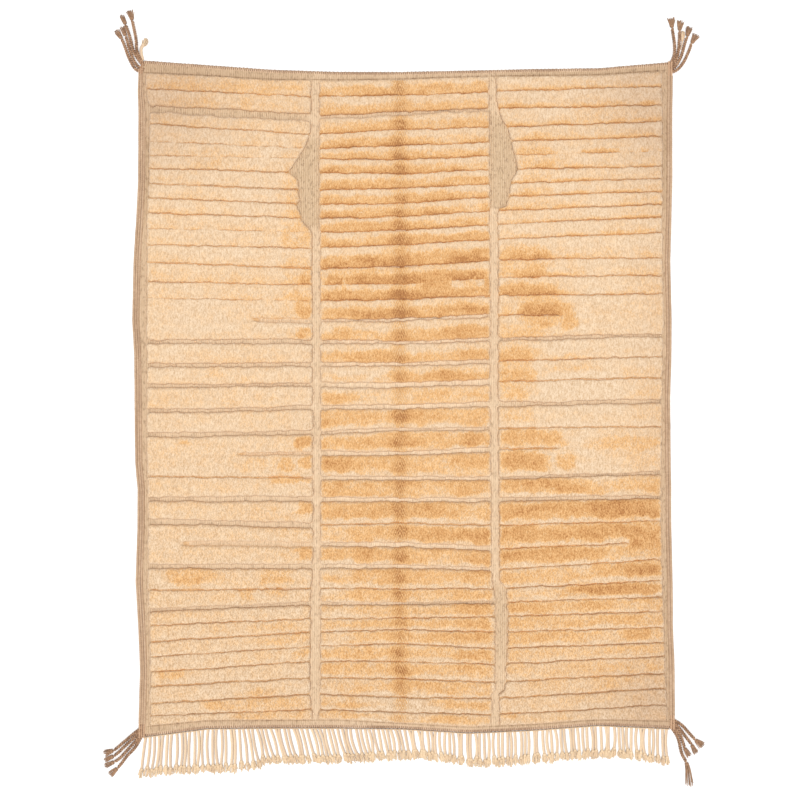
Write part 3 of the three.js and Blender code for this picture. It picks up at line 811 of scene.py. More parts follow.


# %% [markdown]
# ## The wool of the pile
# The material turns the painted numbers into wool. A ramp goes from cream over pale amber to dark amber.
# Fine noise, longer along the rug than across, stands for the cut ends of the yarn. They show most where the
# wool is amber and towards the lower end. Deep in a groove the wool is painted darker and richer, as painted
# shade. Down the crease the tufts part to both sides, and short slanted ticks show there; the wool there is
# painted darker as well, as painted shade.

# %% Pile material
CREAM = (0.790, 0.610, 0.430)
DUSK = (0.83, 0.80, 0.80)  # what the wool is multiplied by where the dusk makes it darker and greyer
HONEY = (0.800, 0.495, 0.232)
AMBER = (0.665, 0.357, 0.140)
RUST = (0.47, 0.215, 0.075)
# The next two tints are painted shade: darker wool down in a groove, and darker still at its floor.
IN_GROOVE = (0.93, 0.82, 0.66)  # the tint of wool down in a groove
AT_FLOOR = (0.86, 0.80, 0.74)  # and what is added to it at the groove's floor
BARB_LEAN = 0.42  # how far the barbs of the crease lean, as a slope


def crease_ticks(tree):
    """Short strokes that lean away from the crease on both sides, like barbs of a feather."""
    place = where_on_rug(tree)
    off = maths(tree, "ABSOLUTE", maths(tree, "SUBTRACT", place["X"], SPINE * MM))
    phase = plus(tree, off, times(tree, place["Y"], BARB_LEAN))
    flat = node(tree, "ShaderNodeCombineXYZ", X=phase, Y=times(tree, place["Y"], 0.3))
    made = node(
        tree,
        "ShaderNodeTexWave",
        {"bands_direction": "X"},
        Vector=flat.outputs["Vector"],
        Scale=29.0,
        Distortion=4.5,
        Detail=2.0,
        Detail_Scale=9.0,
    )
    return made.outputs["Fac"]


def pile_wool():
    finish, tree, shader = wool("pile_wool", sheen=0.2)
    amber, spine, deep, dusk = (painted(tree, name) for name in ("amber", "spine", "deep", "dusk"))
    streak = grain(tree, places(tree, (135, 50, 100)), 1.0, detail=4, distortion=0.3)
    fine = grain(tree, places(tree, (250, 140, 200)), 1.0, detail=2)
    speck = grain(tree, places(tree, (230, 105, 150)), 1.0, detail=2)
    soft = grain(tree, places(tree, (34, 26, 30)), 1.0, detail=3)

    # The colour of each tuft strays from that of its place, most where there is much amber.
    even = plus(tree, spread(tree, streak, 0.3, 0.7, -0.08, 0.08), spread(tree, soft, 0.3, 0.7, -0.05, 0.05))
    spots = plus(tree, spread(tree, speck, 0.36, 0.64, -0.5, 0.5), spread(tree, soft, 0.3, 0.7, -0.16, 0.16))
    lively = spread(tree, amber, 0.0, 0.5, 0.08, 0.46)
    stray = plus(tree, even, times(tree, lively, spots))
    # Down the crease the wool is painted darker and more amber, with dark ticks: painted shade where the
    # tufts part.
    crease = times(tree, spine, spread(tree, crease_ticks(tree), 0.35, 0.75, 0.0, 1.0))
    amber_and_shade = plus(tree, amber, stray, times(tree, spine, 0.22), times(tree, crease, 0.50))
    colour = ramp(tree, amber_and_shade, (0.0, CREAM), (0.36, HONEY), (0.76, AMBER), (1.0, RUST))

    # Painted shade lies in the grooves and between the streaks, and the dusk makes the wool darker and
    # greyer.
    colour = blend(tree, "MULTIPLY", spread(tree, deep, 0.02, 0.4, 0.0, 1.0), colour, IN_GROOVE)
    colour = blend(tree, "MULTIPLY", spread(tree, deep, 0.7, 1.0, 0.0, 1.0), colour, AT_FLOOR)
    between = ramp(tree, streak, (0.34, (0.83, 0.755, 0.66)), (0.60, (1, 1, 1)))
    colour = blend(tree, "MULTIPLY", 1.0, colour, between)
    colour = blend(tree, "MULTIPLY", dusk, colour, DUSK)

    # The cut ends show as fine dark pits, most towards the lower end and in amber wool.
    low_down = spread(tree, where_on_rug(tree)["Y"], 0.0, -1.0, 0.62, 0.95)
    rough = plus(tree, low_down, spread(tree, amber, 0.1, 0.5, 0.0, 0.15))
    pits = ramp(tree, fine, (0.36, (0.72, 0.64, 0.55)), (0.58, (1, 1, 1)))
    colour = blend(tree, "MULTIPLY", rough, colour, pits)
    tree.links.new(colour, shader.inputs["Base Color"])
    height = plus(tree, streak, times(tree, fine, 0.5))
    relief(tree, shader, maths(tree, "SUBTRACT", height, times(tree, crease, 0.6)), 0.7, 0.004)
    return finish


PILE_WOOL = pile_wool()
piles = [settle(pile_of(panel), ["rug_field"], PILE_WOOL) for panel in PANELS]

# %% [markdown]
# ## The flat-woven ground
# Under the pile runs one cloth, about 6 mm thick. It shows in the two lines, the half-lozenges, the wide
# grooves and the strips along the edges. It is a grid primitive moved onto the outline, with a column on each
# edge of a line so that its colour changes there, and a Solidify modifier gives it its thickness.

# %% Columns and rows of the ground
HIDDEN = 10  # columns under each panel of pile, which nobody sees from above
LINE_COLUMNS = [HIDDEN, HIDDEN + 1, 2 * HIDDEN, 2 * HIDDEN + 1]  # those on the edges of the two lines
OUTER_COLUMNS = [0, 1, -2, -1]  # and those beside the cords
GROUND_ROWS = 190
STRIP_ROWS = (40.0, 11.0, 6.5, 2.0)  # how far beyond the pile the rows of each end strip lie
SHADOW_ROW = 2  # the one of them that gets a line of painted shadow beside the pile
PALE_LINE, PALE_EDGE = 0.56, 0.36  # how pale the wool is in the two lines and along the cords
# The middle panel's wide grooves are paler partly for paler wool and partly as painted light that lifts their
# shade.
PALER_MIDDLE = 0.22  # and how much paler in the wide grooves of the middle panel


def ground_columns():
    """The columns of the ground, each as a place across for any height."""
    columns = [lambda y: side("leftEdge", y) + cords_wide("left", y) - UNDER]
    for start, stop in PANELS.values():
        for share in np.linspace(0, 1, HIDDEN):
            columns.append(lambda y, a=start, b=stop, s=share: a(y) + s * (b(y) - a(y)))
    columns.append(lambda y: side("rightEdge", y) - cords_wide("right", y) + UNDER)
    return columns


def ground_places(columns):
    """Where the points lie across and along. The ends of the cloth have a few rows of their own."""
    inner = np.linspace(0, 1, GROUND_ROWS + 1 - 2 * len(STRIP_ROWS))[:, None]
    out = np.array(STRIP_ROWS)[:, None]
    apart = 0.5 * np.arange(len(out))[:, None]
    y = np.zeros((GROUND_ROWS + 1, len(columns)))
    for _ in range(3):
        x = np.stack([column(y[:, i]) for i, column in enumerate(columns)], axis=1)
        low, high = end("bottomEdge", x)[:1] + HEADING - UNDER, end("topEdge", x)[:1] - HEADING + UNDER
        low_pile, high_pile = end("bottomPile", x)[:1], end("topPile", x)[:1]
        lower = np.maximum(low_pile - out, low + apart)
        upper = np.minimum(high_pile + out[::-1], high - apart[::-1])
        lower[0], upper[-1] = low, high
        y = np.concatenate([lower, low_pile + 4 + inner * (high_pile - low_pile - 8), upper])
    return x, y


# %% Ground cloth
def paint_ground(piece, x, y):
    """Stores how pale the ground is, where its line of painted shadow lies, and how grey it is at each point.
    """
    pale = PALE_LINE - 0.26 * ease(1150, 1330, y) - 0.1 * ease(-4, 4, end("bottomPile", x) - y)
    pale[:, OUTER_COLUMNS] = PALE_EDGE
    pale[:, LINE_COLUMNS] = PALE_LINE
    pale[:, HIDDEN + 2 : 2 * HIDDEN] += PALER_MIDDLE
    wide = np.where(x < 0, read(LEFT_LINE, "y", "to", y) - read(LEFT_LINE, "y", "from", y), 0)
    wide = wide + np.where(x > 0, read(RIGHT_LINE, "y", "to", y) - read(RIGHT_LINE, "y", "from", y), 0)
    near = np.minimum(end("topPile", x) - y, y - end("bottomPile", x))
    # The half-lozenges, where a line is wide, are greyer, and so are the strips beyond the pile.
    pale = pale * (1 - 0.66 * ease(35, 60, wide)) * (0.85 + 0.15 * ease(-2, 12, near))
    # A row a little beyond each end of the pile gets a line of painted shadow, the shadow of the pile's edge.
    dark = np.zeros_like(x)
    dark[[SHADOW_ROW, -1 - SHADOW_ROW], 1:-1] = 1.0
    outside = ease(0, 6, -near)
    outside[:, OUTER_COLUMNS] = 1.0
    paint(piece, "pale", pale.ravel())
    paint(piece, "dark", dark.ravel())
    paint(piece, "dusk", (0.5 * dusk_at(x, y) + 0.45 * outside).ravel())


def ground_cloth():
    columns = ground_columns()
    bpy.ops.object.select_all(action="DESELECT")
    bpy.ops.mesh.primitive_grid_add(x_subdivisions=len(columns) - 1, y_subdivisions=GROUND_ROWS, size=2)
    piece = bpy.context.object
    x, y = ground_places(columns)
    z = GROUND + 0.25 * wander(x, y, 40, 30, 61)
    move_points(piece, np.stack([x, y, z], axis=-1).reshape(-1, 3))
    paint_ground(piece, x, y)
    solid = piece.modifiers.new("thickness", "SOLIDIFY")
    solid.thickness, solid.offset = (GROUND - 0.3) * MM, -1
    bpy.ops.object.modifier_apply(modifier=solid.name)
    bpy.ops.object.shade_smooth_by_angle()
    piece.name = piece.data.name = "ground_weave"
    return piece


# %% [markdown]
# The finish of the ground is a plain weave: picks of greige wool across, pulled over cream warps. Two wave
# textures at right angles give the relief, and noise drawn out along the rug gives the streaks and specks of
# undyed brown fibre. Beside each end of the pile a row of short dark dashes is painted shadow of the pile.

# %% Ground material
GREIGE = (0.60, 0.43, 0.267)
OATMEAL = (0.74, 0.55, 0.365)
PALE_WOOL = (0.86, 0.68, 0.48)
BROWN_FLECK = (0.30, 0.19, 0.115)
PILE_EDGE_SHADOW = (0.56, 0.48, 0.42)  # the tint of the painted shadow line beside each end of the pile
WARP_SCALE = 37.0  # a wave texture of this scale repeats every 8.5 mm, as the warps do
PICK_SCALES = {"X": 70.0, "Y": 55.0}  # the fine relief of the weave, across and along


def ground_wool():
    finish, tree, shader = wool("ground_wool", sheen=0.15)
    streak = grain(tree, places(tree, (190, 45, 100)), 1.0, detail=3)
    fleck = grain(tree, places(tree, (150, 62, 100)), 1.0, detail=3)
    cloud = grain(tree, places(tree, (26, 20, 20)), 1.0)
    pale = painted(tree, "pale")
    fibres, drift = spread(tree, streak, 0.3, 0.7, -0.2, 0.2), spread(tree, cloud, 0.3, 0.7, -0.1, 0.1)
    tone = plus(tree, pale, fibres, drift)
    colour = ramp(tree, tone, (0.0, GREIGE), (0.62, OATMEAL), (1.0, PALE_WOOL))
    few = spread(tree, pale, 0.2, 1.0, 0.62, 0.25)
    flecks = times(tree, few, spread(tree, fleck, 0.52, 0.68, 0.0, 1.0))
    colour = blend(tree, "MIX", flecks, colour, BROWN_FLECK)
    warps = node(tree, "ShaderNodeTexWave", Vector=places(tree, (1, 1, 1)), Scale=WARP_SCALE, Distortion=1.5)
    ribs = ramp(tree, warps.outputs["Fac"], (0.0, (0.74, 0.66, 0.58)), (0.5, (1, 1, 1)))
    colour = blend(tree, "MULTIPLY", spread(tree, pale, 0.3, 0.8, 0.85, 0.3), colour, ribs)
    # The painted shadow beside each end of the pile, broken into short dashes.
    dashes = spread(tree, grain(tree, places(tree, (45, 10, 10)), 1.0, detail=3), 0.36, 0.6, 0.25, 1.0)
    colour = blend(tree, "MULTIPLY", times(tree, painted(tree, "dark"), dashes), colour, PILE_EDGE_SHADOW)
    colour = blend(tree, "MULTIPLY", painted(tree, "dusk"), colour, DUSK)
    tree.links.new(colour, shader.inputs["Base Color"])
    picks = [
        node(tree, "ShaderNodeTexWave", {"bands_direction": way}, Vector=places(tree, (1, 1, 1)), Scale=scale)
        for way, scale in PICK_SCALES.items()
    ]
    weave = times(tree, *(pick.outputs["Fac"] for pick in picks))
    relief(tree, shader, plus(tree, weave, streak), 0.6, 0.002)
    return finish


GROUND_WOOL = ground_wool()
ground = settle(ground_cloth(), ["rug_field"], GROUND_WOOL)

# %% [markdown]
# ## Yarn: rolled tubes, ovals and wisps
# The edges, plaits and fringe are all yarn that is wrapped, twisted or tied. Three small shapes make them. A
# tube is a grid rolled up and closed, an oval is a squashed sphere, and a wisp is a tube that tapers. The
# Array modifier makes many copies in one mesh, and a formula then puts each copy in its place.

# %% Three small shapes
def tube(rings, around):
    """A closed tube along x, one millimetre long and with a radius of one millimetre."""
    bpy.ops.object.select_all(action="DESELECT")
    bpy.ops.mesh.primitive_grid_add(x_subdivisions=rings, y_subdivisions=around, size=2 * MM)
    piece = bpy.context.object
    x, y, _ = points_of(piece).T
    turn = math.pi * y
    move_points(piece, np.stack([(x + 1) / 2, np.cos(turn), np.sin(turn)], axis=-1))
    edit(piece)
    bpy.ops.mesh.remove_doubles(threshold=0.001 * MM)
    bpy.ops.mesh.fill_holes(sides=0)
    bpy.ops.mesh.select_all(action="SELECT")
    bpy.ops.mesh.normals_make_consistent(inside=False)
    leave_edit()
    bpy.ops.object.shade_smooth()
    return piece


def crowd(piece, count):
    """Makes many copies of a piece in its own mesh. Returns their points, with a block for each copy."""
    only(piece)
    row = piece.modifiers.new("crowd", "ARRAY")
    row.count, row.use_relative_offset = count, False
    bpy.ops.object.modifier_apply(modifier=row.name)
    return points_of(piece).reshape(count, -1, 3)


def outward(piece):
    """Turns all faces outward."""
    edit(piece)
    bpy.ops.mesh.normals_make_consistent(inside=False)
    leave_edit()


def ovals(centres, sizes, turns, tones):
    """Ovals of yarn: for each a centre, a length, width and height, a turn from the x axis, and a tone."""
    bpy.ops.object.select_all(action="DESELECT")
    on_its_side = (0, math.pi / 2, 0)
    bpy.ops.mesh.primitive_uv_sphere_add(segments=8, ring_count=5, radius=0.5 * MM, rotation=on_its_side)
    piece = bpy.context.object
    bpy.ops.object.transform_apply(location=False, rotation=True, scale=False)
    # Each oval's rim, where it meets the next one, is marked for painted shade.
    rim = ease(0.6, 0.95, 2 * abs(points_of(piece)[:, 1]))
    points = crowd(piece, len(centres)) * np.asarray(sizes, float).reshape(-1, 1, 3)
    x, y, z = np.moveaxis(points, 2, 0)
    cos, sin = np.cos(turns)[:, None], np.sin(turns)[:, None]
    spun = np.stack([x * cos - y * sin, x * sin + y * cos, z], axis=-1)
    move_points(piece, (spun + np.asarray(centres, float)[:, None]).reshape(-1, 3))
    paint(piece, "tone", np.repeat(tones, points.shape[1]))
    paint(piece, "deep", np.tile(rim, len(centres)))
    bpy.ops.object.shade_smooth()
    return piece


def wisps(count, start, long, root, tip, high, tone, seed, curl=1.6, rounding=0.08):
    """A brush of loose yarn along x: where it starts, how far it runs, and its width at root and tip."""
    dice = np.random.default_rng(seed)
    piece = tube(3, 4)
    share, across, up = np.moveaxis(crowd(piece, count), 2, 0)
    place = np.linspace(-1, 1, count)[:, None] + dice.uniform(-0.15, 0.15, (count, 1))
    reach = long * dice.uniform(0.84, 1.12, (count, 1)) * (1 - rounding * place**2)
    thick = (1 - 0.3 * share) * max(1.5, 0.95 * tip / count)
    bow = dice.uniform(-curl, curl, (count, 1)) * np.sin(math.pi * share)
    lift = 1.2 + (high - 2.4) * dice.uniform(0.1, 0.9, (count, 1)) * (1 - 0.6 * share)
    x = start + share * reach
    y = place * (root + (tip - root) * share) / 2 * 0.92 + bow + across * thick
    z = lift + up * thick * 0.8
    move_points(piece, np.stack([x, y, np.maximum(z, 0.1)], axis=-1).reshape(-1, 3))
    paint(piece, "tone", (tone + dice.uniform(-0.25, 0.25, (count, 1)) + 0 * share).ravel())
    return piece


def lay_along(piece, route):
    """Bends a straight piece that starts at x = 0 along a route over the floor."""
    data = bpy.data.curves.new("route", "CURVE")
    data.dimensions, data.twist_mode, data.resolution_u = "3D", "Z_UP", 12
    spline = data.splines.new("BEZIER")
    spline.bezier_points.add(len(route) - 1)
    for knot, (x, y) in zip(spline.bezier_points, route):
        knot.co = (x * MM, y * MM, 0)
        knot.handle_left_type = knot.handle_right_type = "AUTO"
    path = bpy.data.objects.new("route", data)
    bpy.context.scene.collection.objects.link(path)
    bend = piece.modifiers.new("route", "CURVE")
    bend.object, bend.deform_axis = path, "POS_X"
    only(piece)
    bpy.ops.object.modifier_apply(modifier=bend.name)
    bpy.data.objects.remove(path)
    return piece


def length_of(route):
    return sum(math.dist(a, b) for a, b in zip(route, route[1:]))


# %% [markdown]
# ## The overcast sides
# Along each side the outer warps are gathered into cords, and wool is wrapped over each one, turn after turn.
# The left side has three cords and the right side two. A cord is one long tube with two rings to each turn,
# one wide and one narrow, and the turns lie a little aslant. Each turn takes its own tone from tan to brown.

# %% Overcast cords
CORD_PITCH = 9.0  # millimetres from one turn of the wrapping to the next
CORNER_PITCH = 8.0
CORD_OVERLAP = 1.25  # each cord is this much wider than its share of the side, so that no slit shows
CORNER_OVERLAP = 1.06


def overcast(place, low, high, wide, tall, tone, seed, pitch=CORD_PITCH, crosswise=False):
    """A wrapped cord. Place and width are functions of y, or of x if the cord runs crosswise."""
    dice = np.random.default_rng(seed)
    count = max(3, round((high - low) / pitch))
    piece = tube(2 * count, 8)
    share, across, up = points_of(piece).T
    turn = share * count
    crest = np.abs(np.sin(math.pi * turn))
    size = 0.78 + 0.22 * crest
    beat = dice.uniform(0.94, 1.0, count + 1)[np.floor(turn).astype(int)]
    along = low + share * (high - low) + 1.8 * across * (1 if seed % 2 else -1)
    along = np.clip(along, low, high)
    c = across * wide(along) / 2 * size * beat
    z = tall / 2 + up * tall / 2 * size * beat
    line = place(along) + 0.5 * wander(along, along * 0, 40, 40, seed)
    pair = (along, line + c) if crosswise else (line + c, along)
    move_points(piece, np.stack([*pair, z], axis=-1))
    slow = wander(along, along * 0, 130, 130, seed + 100)
    tones = dice.uniform(-0.14, 0.14, count + 1)[np.floor(turn).astype(int)]
    paint(piece, "tone", tone + tones + 0.16 * slow)
    # The valleys between the turns and the sides of each cord are marked for painted shade.
    paint(piece, "deep", np.maximum(0.45 * (1 - crest), 0.6 * ease(0.6, 1.0, abs(across))))
    outward(piece)
    return piece


def corner_y(name, x):
    """Where the wrapped corner starts, at the upper or the lower end."""
    return end("topEdge", x) - CORNER_LONG if name == "top" else end("bottomEdge", x) + CORNER_LONG


def cord_wide(name, y):
    """How wide each cord is."""
    return cords_wide(name, y) / SIDE_CORDS[name]


def cord_lines(name):
    """The middle line of each cord on one side of the rug, outermost first."""
    sign = 1 if name == "left" else -1
    return [
        lambda y, i=i: side(f"{name}Edge", y) + sign * (i + 0.5) * cord_wide(name, y)
        for i in range(SIDE_CORDS[name])
    ]


def selvedge(name):
    seed = 200 if name == "left" else 220
    edge = float(side(f"{name}Edge", 0))
    low, high = corner_y("bottom", edge), corner_y("top", edge)
    low, high = float(low) - 3, float(high) + 3
    cords = [
        overcast(line, low, high, lambda y: CORD_OVERLAP * cord_wide(name, y), CORD_HIGH, 0.5, seed + i)
        for i, line in enumerate(cord_lines(name))
    ]
    return joined(f"overcast_{name}", cords)


# %% [markdown]
# ## The finish of wrapped and twined wool
# The same tree serves the sides, the two end bands and the brown plaits. Only its three colours differ. Each
# turn's tone runs from dark to pale, fine streaks run round it as fibres do, and the valleys are painted
# darker: painted shade.

# %% Wrapped wool
def wrapped_wool(name, dark, middle, pale, valley=(0.76, 0.66, 0.57), fibre=(500, 160, 300)):
    finish, tree, shader = wool(name, sheen=0.08)
    streak = grain(tree, places(tree, fibre), 1.0, detail=3)
    tone = plus(tree, painted(tree, "tone"), spread(tree, streak, 0.3, 0.7, -0.25, 0.25))
    colour = ramp(tree, tone, (0.0, dark), (0.5, middle), (1.0, pale))
    # Painted shade in the valleys between the turns and the ovals.
    deep = spread(tree, painted(tree, "deep"), 0.3, 1.0, 0.0, 0.8)
    colour = blend(tree, "MULTIPLY", deep, colour, valley)
    tree.links.new(colour, shader.inputs["Base Color"])
    relief(tree, shader, streak, 0.5, 0.0015)
    return finish


SIDE_WOOL = wrapped_wool("side_wool", (0.37, 0.235, 0.145), (0.495, 0.33, 0.21), (0.64, 0.46, 0.31))
BAND_WOOL = wrapped_wool(
    "band_wool",
    (0.30, 0.185, 0.115),
    (0.55, 0.375, 0.25),
    (0.78, 0.585, 0.41),
    valley=(0.40, 0.29, 0.22),
    fibre=(160, 500, 300),
)
PLAIT_WOOL = wrapped_wool(
    "plait_wool", (0.19, 0.10, 0.055), (0.36, 0.205, 0.118), (0.56, 0.36, 0.225), valley=(0.42, 0.32, 0.25)
)
CREAM_YARN = wrapped_wool("cream_yarn", (0.60, 0.45, 0.335), (0.74, 0.545, 0.35), (0.83, 0.65, 0.44))

for name in SIDE_CORDS:
    settle(selvedge(name), [f"selvedge_{name}"], SIDE_WOOL)

# %% [markdown]
# ## The twined bands across the ends
# A weaver stops the wefts from sliding off with a row of twining: two thick strands pass round each pair of
# warps and cross between them, so that the row is a line of tall ribs, a little aslant. Squashed spheres have
# that shape, and a dark core under them keeps the floor from showing between them: it stands for the shade
# between the ribs, a painted shadow.

# %% Twined bands
TWINE_PITCH = 8.8
RIB_LONG, RIB_WIDE = 19.0, 5.6
RIB_TURN = 1.38  # radians from the edge to a rib, a little less than upright


def twined_band(name):
    """A row of tall slanted ovals over a core, across one end of the rug."""
    seed = 300 if name == "top" else 320
    dice = np.random.default_rng(seed)
    edge = f"{name}Edge"
    sign = -1 if name == "top" else 1
    first, last = end(edge, -1215), end(edge, 1230)
    start = float(side("leftEdge", first) + cords_wide("left", first)) + 1
    stop = float(side("rightEdge", last) - cords_wide("right", last)) - 1
    count = round((stop - start) / TWINE_PITCH)
    x = start + (np.arange(count) + 0.5) * TWINE_PITCH
    tilt = np.arctan(np.gradient(end(edge, x), x))
    at = x + dice.uniform(-0.6, 0.6, count)
    y = end(edge, at) + sign * 0.5 * HEADING + dice.uniform(-0.5, 0.5, count)
    centres = np.stack([at, y, np.full(count, HEADING_HIGH / 2)], axis=-1)
    sizes = np.tile((RIB_LONG, RIB_WIDE, HEADING_HIGH), (count, 1)) * dice.uniform(0.93, 1.0, (count, 1))
    tones = 0.55 + 0.25 * wander(x, x * 0, 110, 110, seed) + dice.uniform(-0.16, 0.16, count)
    ribs = ovals(centres, sizes, tilt + RIB_TURN, tones)
    points = points_of(ribs)
    away = (points[:, 1] - end(edge, points[:, 0])) * sign / HEADING
    paint(ribs, "tone", np.repeat(tones, len(points) // count) + 0.3 * (away - 0.4))
    # The core in the darkest tone is painted shade between the ribs.
    core = overcast(
        lambda along: end(edge, along) + sign * HEADING / 2,
        start - 2,
        stop + 2,
        lambda along: HEADING + 1.4,
        GROUND + 0.6,
        tone=0.0,
        seed=seed + 9,
        pitch=18.0,
        crosswise=True,
    )
    return joined(f"twined_{name}", [ribs, core])


for name in ("top", "bottom"):
    settle(twined_band(name), [f"heading_{name}"], BAND_WOOL)

# %% [markdown]
# ## The plaited corners
# At each corner the brown yarn of the sides is wrapped round the last warps, then worked into four plaits,
# each with a knot and a ragged brush at its end. Seen from above, a plait of three strands is two rows of
# slanted ovals that meet in the middle like the barbs of a feather. It is made straight, then bent along its
# route.

# %% Routes of the plaits, each with the width of its brush
PLAITS = {
    "top_left": (
        (30, (-1199, 1540), (-1226, 1601), (-1229, 1647), (-1239, 1700), (-1248, 1742), (-1260, 1785)),
        (19, (-1197, 1530), (-1241, 1597), (-1254, 1647), (-1267, 1690), (-1279, 1722), (-1297, 1764)),
        (21, (-1196, 1512), (-1226, 1533), (-1259, 1605), (-1273, 1654), (-1285, 1684), (-1296, 1712)),
        (23, (-1198, 1502), (-1229, 1513), (-1254, 1550), (-1293, 1647), (-1307, 1672), (-1322, 1695)),
    ),
    "top_right": (
        (33, (1226, 1528), (1248, 1575), (1251, 1619), (1245, 1670), (1240, 1702), (1237, 1752)),
        (29, (1228, 1521), (1251, 1547), (1264, 1577), (1273, 1651), (1274, 1693), (1279, 1739)),
        (27, (1226, 1508), (1250, 1524), (1273, 1556), (1301, 1642), (1310, 1670), (1322, 1711)),
        (31, (1227, 1500), (1254, 1507), (1283, 1533), (1317, 1599), (1330, 1633), (1354, 1674)),
    ),
    "bottom_left": (
        (27, (-1201, -1518), (-1224, -1534), (-1293, -1591), (-1329, -1620), (-1377, -1640)),
        (19, (-1201, -1529), (-1222, -1549), (-1286, -1609), (-1321, -1641), (-1374, -1670)),
        (22, (-1202, -1546), (-1218, -1565), (-1275, -1628), (-1309, -1663), (-1372, -1696)),
        (25, (-1203, -1555), (-1235, -1611), (-1270, -1648), (-1302, -1690), (-1349, -1738)),
    ),
    "bottom_right": (
        (31, (1233, -1476), (1284, -1507), (1320, -1546), (1352, -1579), (1382, -1604)),
        (24, (1233, -1488), (1253, -1501), (1302, -1560), (1329, -1597), (1352, -1638)),
        (21, (1234, -1501), (1275, -1549), (1288, -1582), (1300, -1617), (1320, -1652)),
        (31, (1234, -1512), (1265, -1563), (1285, -1640), (1307, -1684), (1320, -1785)),
    ),
}
PLAIT_WIDE, PLAIT_HIGH = 14.5, 12.0
PLAIT_STEP = 5.2  # from one crossing of the strands to the next
PLAIT_OVAL, PLAIT_SLANT = 15.0, 0.62  # how long a strand's oval is, and how far it turns, in radians
KNOT_LONG = 14.0
BRUSH_LONG = 31.0
LOOSE_PLAIT, LONG_BRUSH = ("bottom_right", 3), 92.0  # one plait has come undone for much of its length
CORNER_CUT = {"top_left": (42, 28, 8)}  # how much sooner each cord ends, outermost first


# %% A plait and its corner
def knot(start, wide, high, tone):
    """A knot: one fat oval with two ovals of yarn crossed over it."""
    centre = (start + KNOT_LONG / 2, 0, high / 2)
    sizes = ((KNOT_LONG * 1.15, wide, high * 0.92), (wide * 1.1, 7.0, high), (wide * 1.0, 6.0, high * 0.97))
    return ovals([centre] * 3, sizes, np.array((0.0, 1.15, -0.9)), np.array((tone - 0.1, tone + 0.1, tone)))


def plait(route, brush, loose, seed):
    """One plait with its knot and brush, bent along its route."""
    dice = np.random.default_rng(seed)
    long = length_of(route)
    woven = long - loose - KNOT_LONG
    k = np.arange(max(4, int(woven / PLAIT_STEP)))
    sign = np.where(k % 2, 1.0, -1.0)
    wide = PLAIT_WIDE * (1 - 0.12 * k / len(k))
    centres = np.stack([3 + k * PLAIT_STEP, sign * wide * 0.21, np.full(len(k), PLAIT_HIGH / 2)], axis=-1)
    sizes = np.stack([np.full(len(k), PLAIT_OVAL), wide * 0.52, np.full(len(k), PLAIT_HIGH)], axis=-1)
    tones = 0.5 + dice.uniform(-0.3, 0.3, len(k))
    parts = [
        ovals(centres, sizes, -PLAIT_SLANT * sign, tones),
        knot(woven, PLAIT_WIDE + 5, PLAIT_HIGH, 0.45),
        wisps(18, long - loose - 9, loose + 9, 15, brush * 1.22, 9.0, 0.5, seed),
    ]
    return lay_along(joined("plait", parts), route)


def plaited_corner(name):
    """The wrapped end of one side with its four plaits."""
    where, which = name.split("_")
    seed = 400 + 20 * list(PLAITS).index(name)
    edge = float(side(f"{which}Edge", 1540 if where == "top" else -1540))
    reach = float(end(f"{where}Edge", edge))
    low, high = sorted((float(corner_y(where, edge)), reach))
    cuts = CORNER_CUT.get(name, (0, 0, 0))
    wraps = [
        overcast(
            line,
            low - 1,
            high + 1 - cut,
            lambda y: CORNER_OVERLAP * cord_wide(which, y),
            CORD_HIGH + 0.5,
            tone=0.98,
            seed=seed + 10 + i,
            pitch=CORNER_PITCH,
        )
        for i, (line, cut) in enumerate(zip(cord_lines(which), cuts))
    ]
    plaits = [
        plait(points, brush, LONG_BRUSH if (name, i) == LOOSE_PLAIT else BRUSH_LONG, seed + i)
        for i, (brush, *points) in enumerate(PLAITS[name])
    ]
    return joined(f"corner_{name}", [*wraps, *plaits])


for name in PLAITS:
    settle(plaited_corner(name), [f"plaits_{name}"], PLAIT_WOOL)

# %% [markdown]
# ## The fringe
# At the lower end the cream warps come out of the cloth. Each bundle is two plies twisted together, tied in
# an overhand knot, with a short loose tuft beyond it. Their lean changes slowly along the edge, as they fell.

# %% The fringe: at some places across the rug, how far a strand leans, and where its tip lies
FRINGE = table(
    "x lean tip",
    (-1200, -34, -1757),
    (-1165, -14, -1745),
    (-1072, -8, -1734),
    (-934, -3, -1726),
    (-796, 5, -1724),
    (-740, 20, -1717),
    (-690, 36, -1700),
    (-640, 42, -1688),
    (-474, 40, -1684),
    (-290, 40, -1679),
    (-152, 30, -1670),
    (32, 26, -1661),
    (130, 8, -1672),
    (240, 5, -1684),
    (308, 6, -1700),
    (446, 0, -1697),
    (630, 8, -1681),
    (722, 12, -1670),
    (906, 3, -1656),
    (1044, 2, -1661),
    (1136, 2, -1679),
    (1240, 1, -1690),
)
STRANDS = 118
FRINGE_FROM, FRINGE_TO = -1196.0, 1228.0
STRIP_WIDE, STRIP_HIGH = 5.0, 9.0
STRAND_WIDE, STRAND_HIGH = 11.0, 7.5
TWIST = 220.0  # millimetres over which the two plies turn by one radian
TUFT_LONG, TUFT_WIDE = 31.0, 27.0


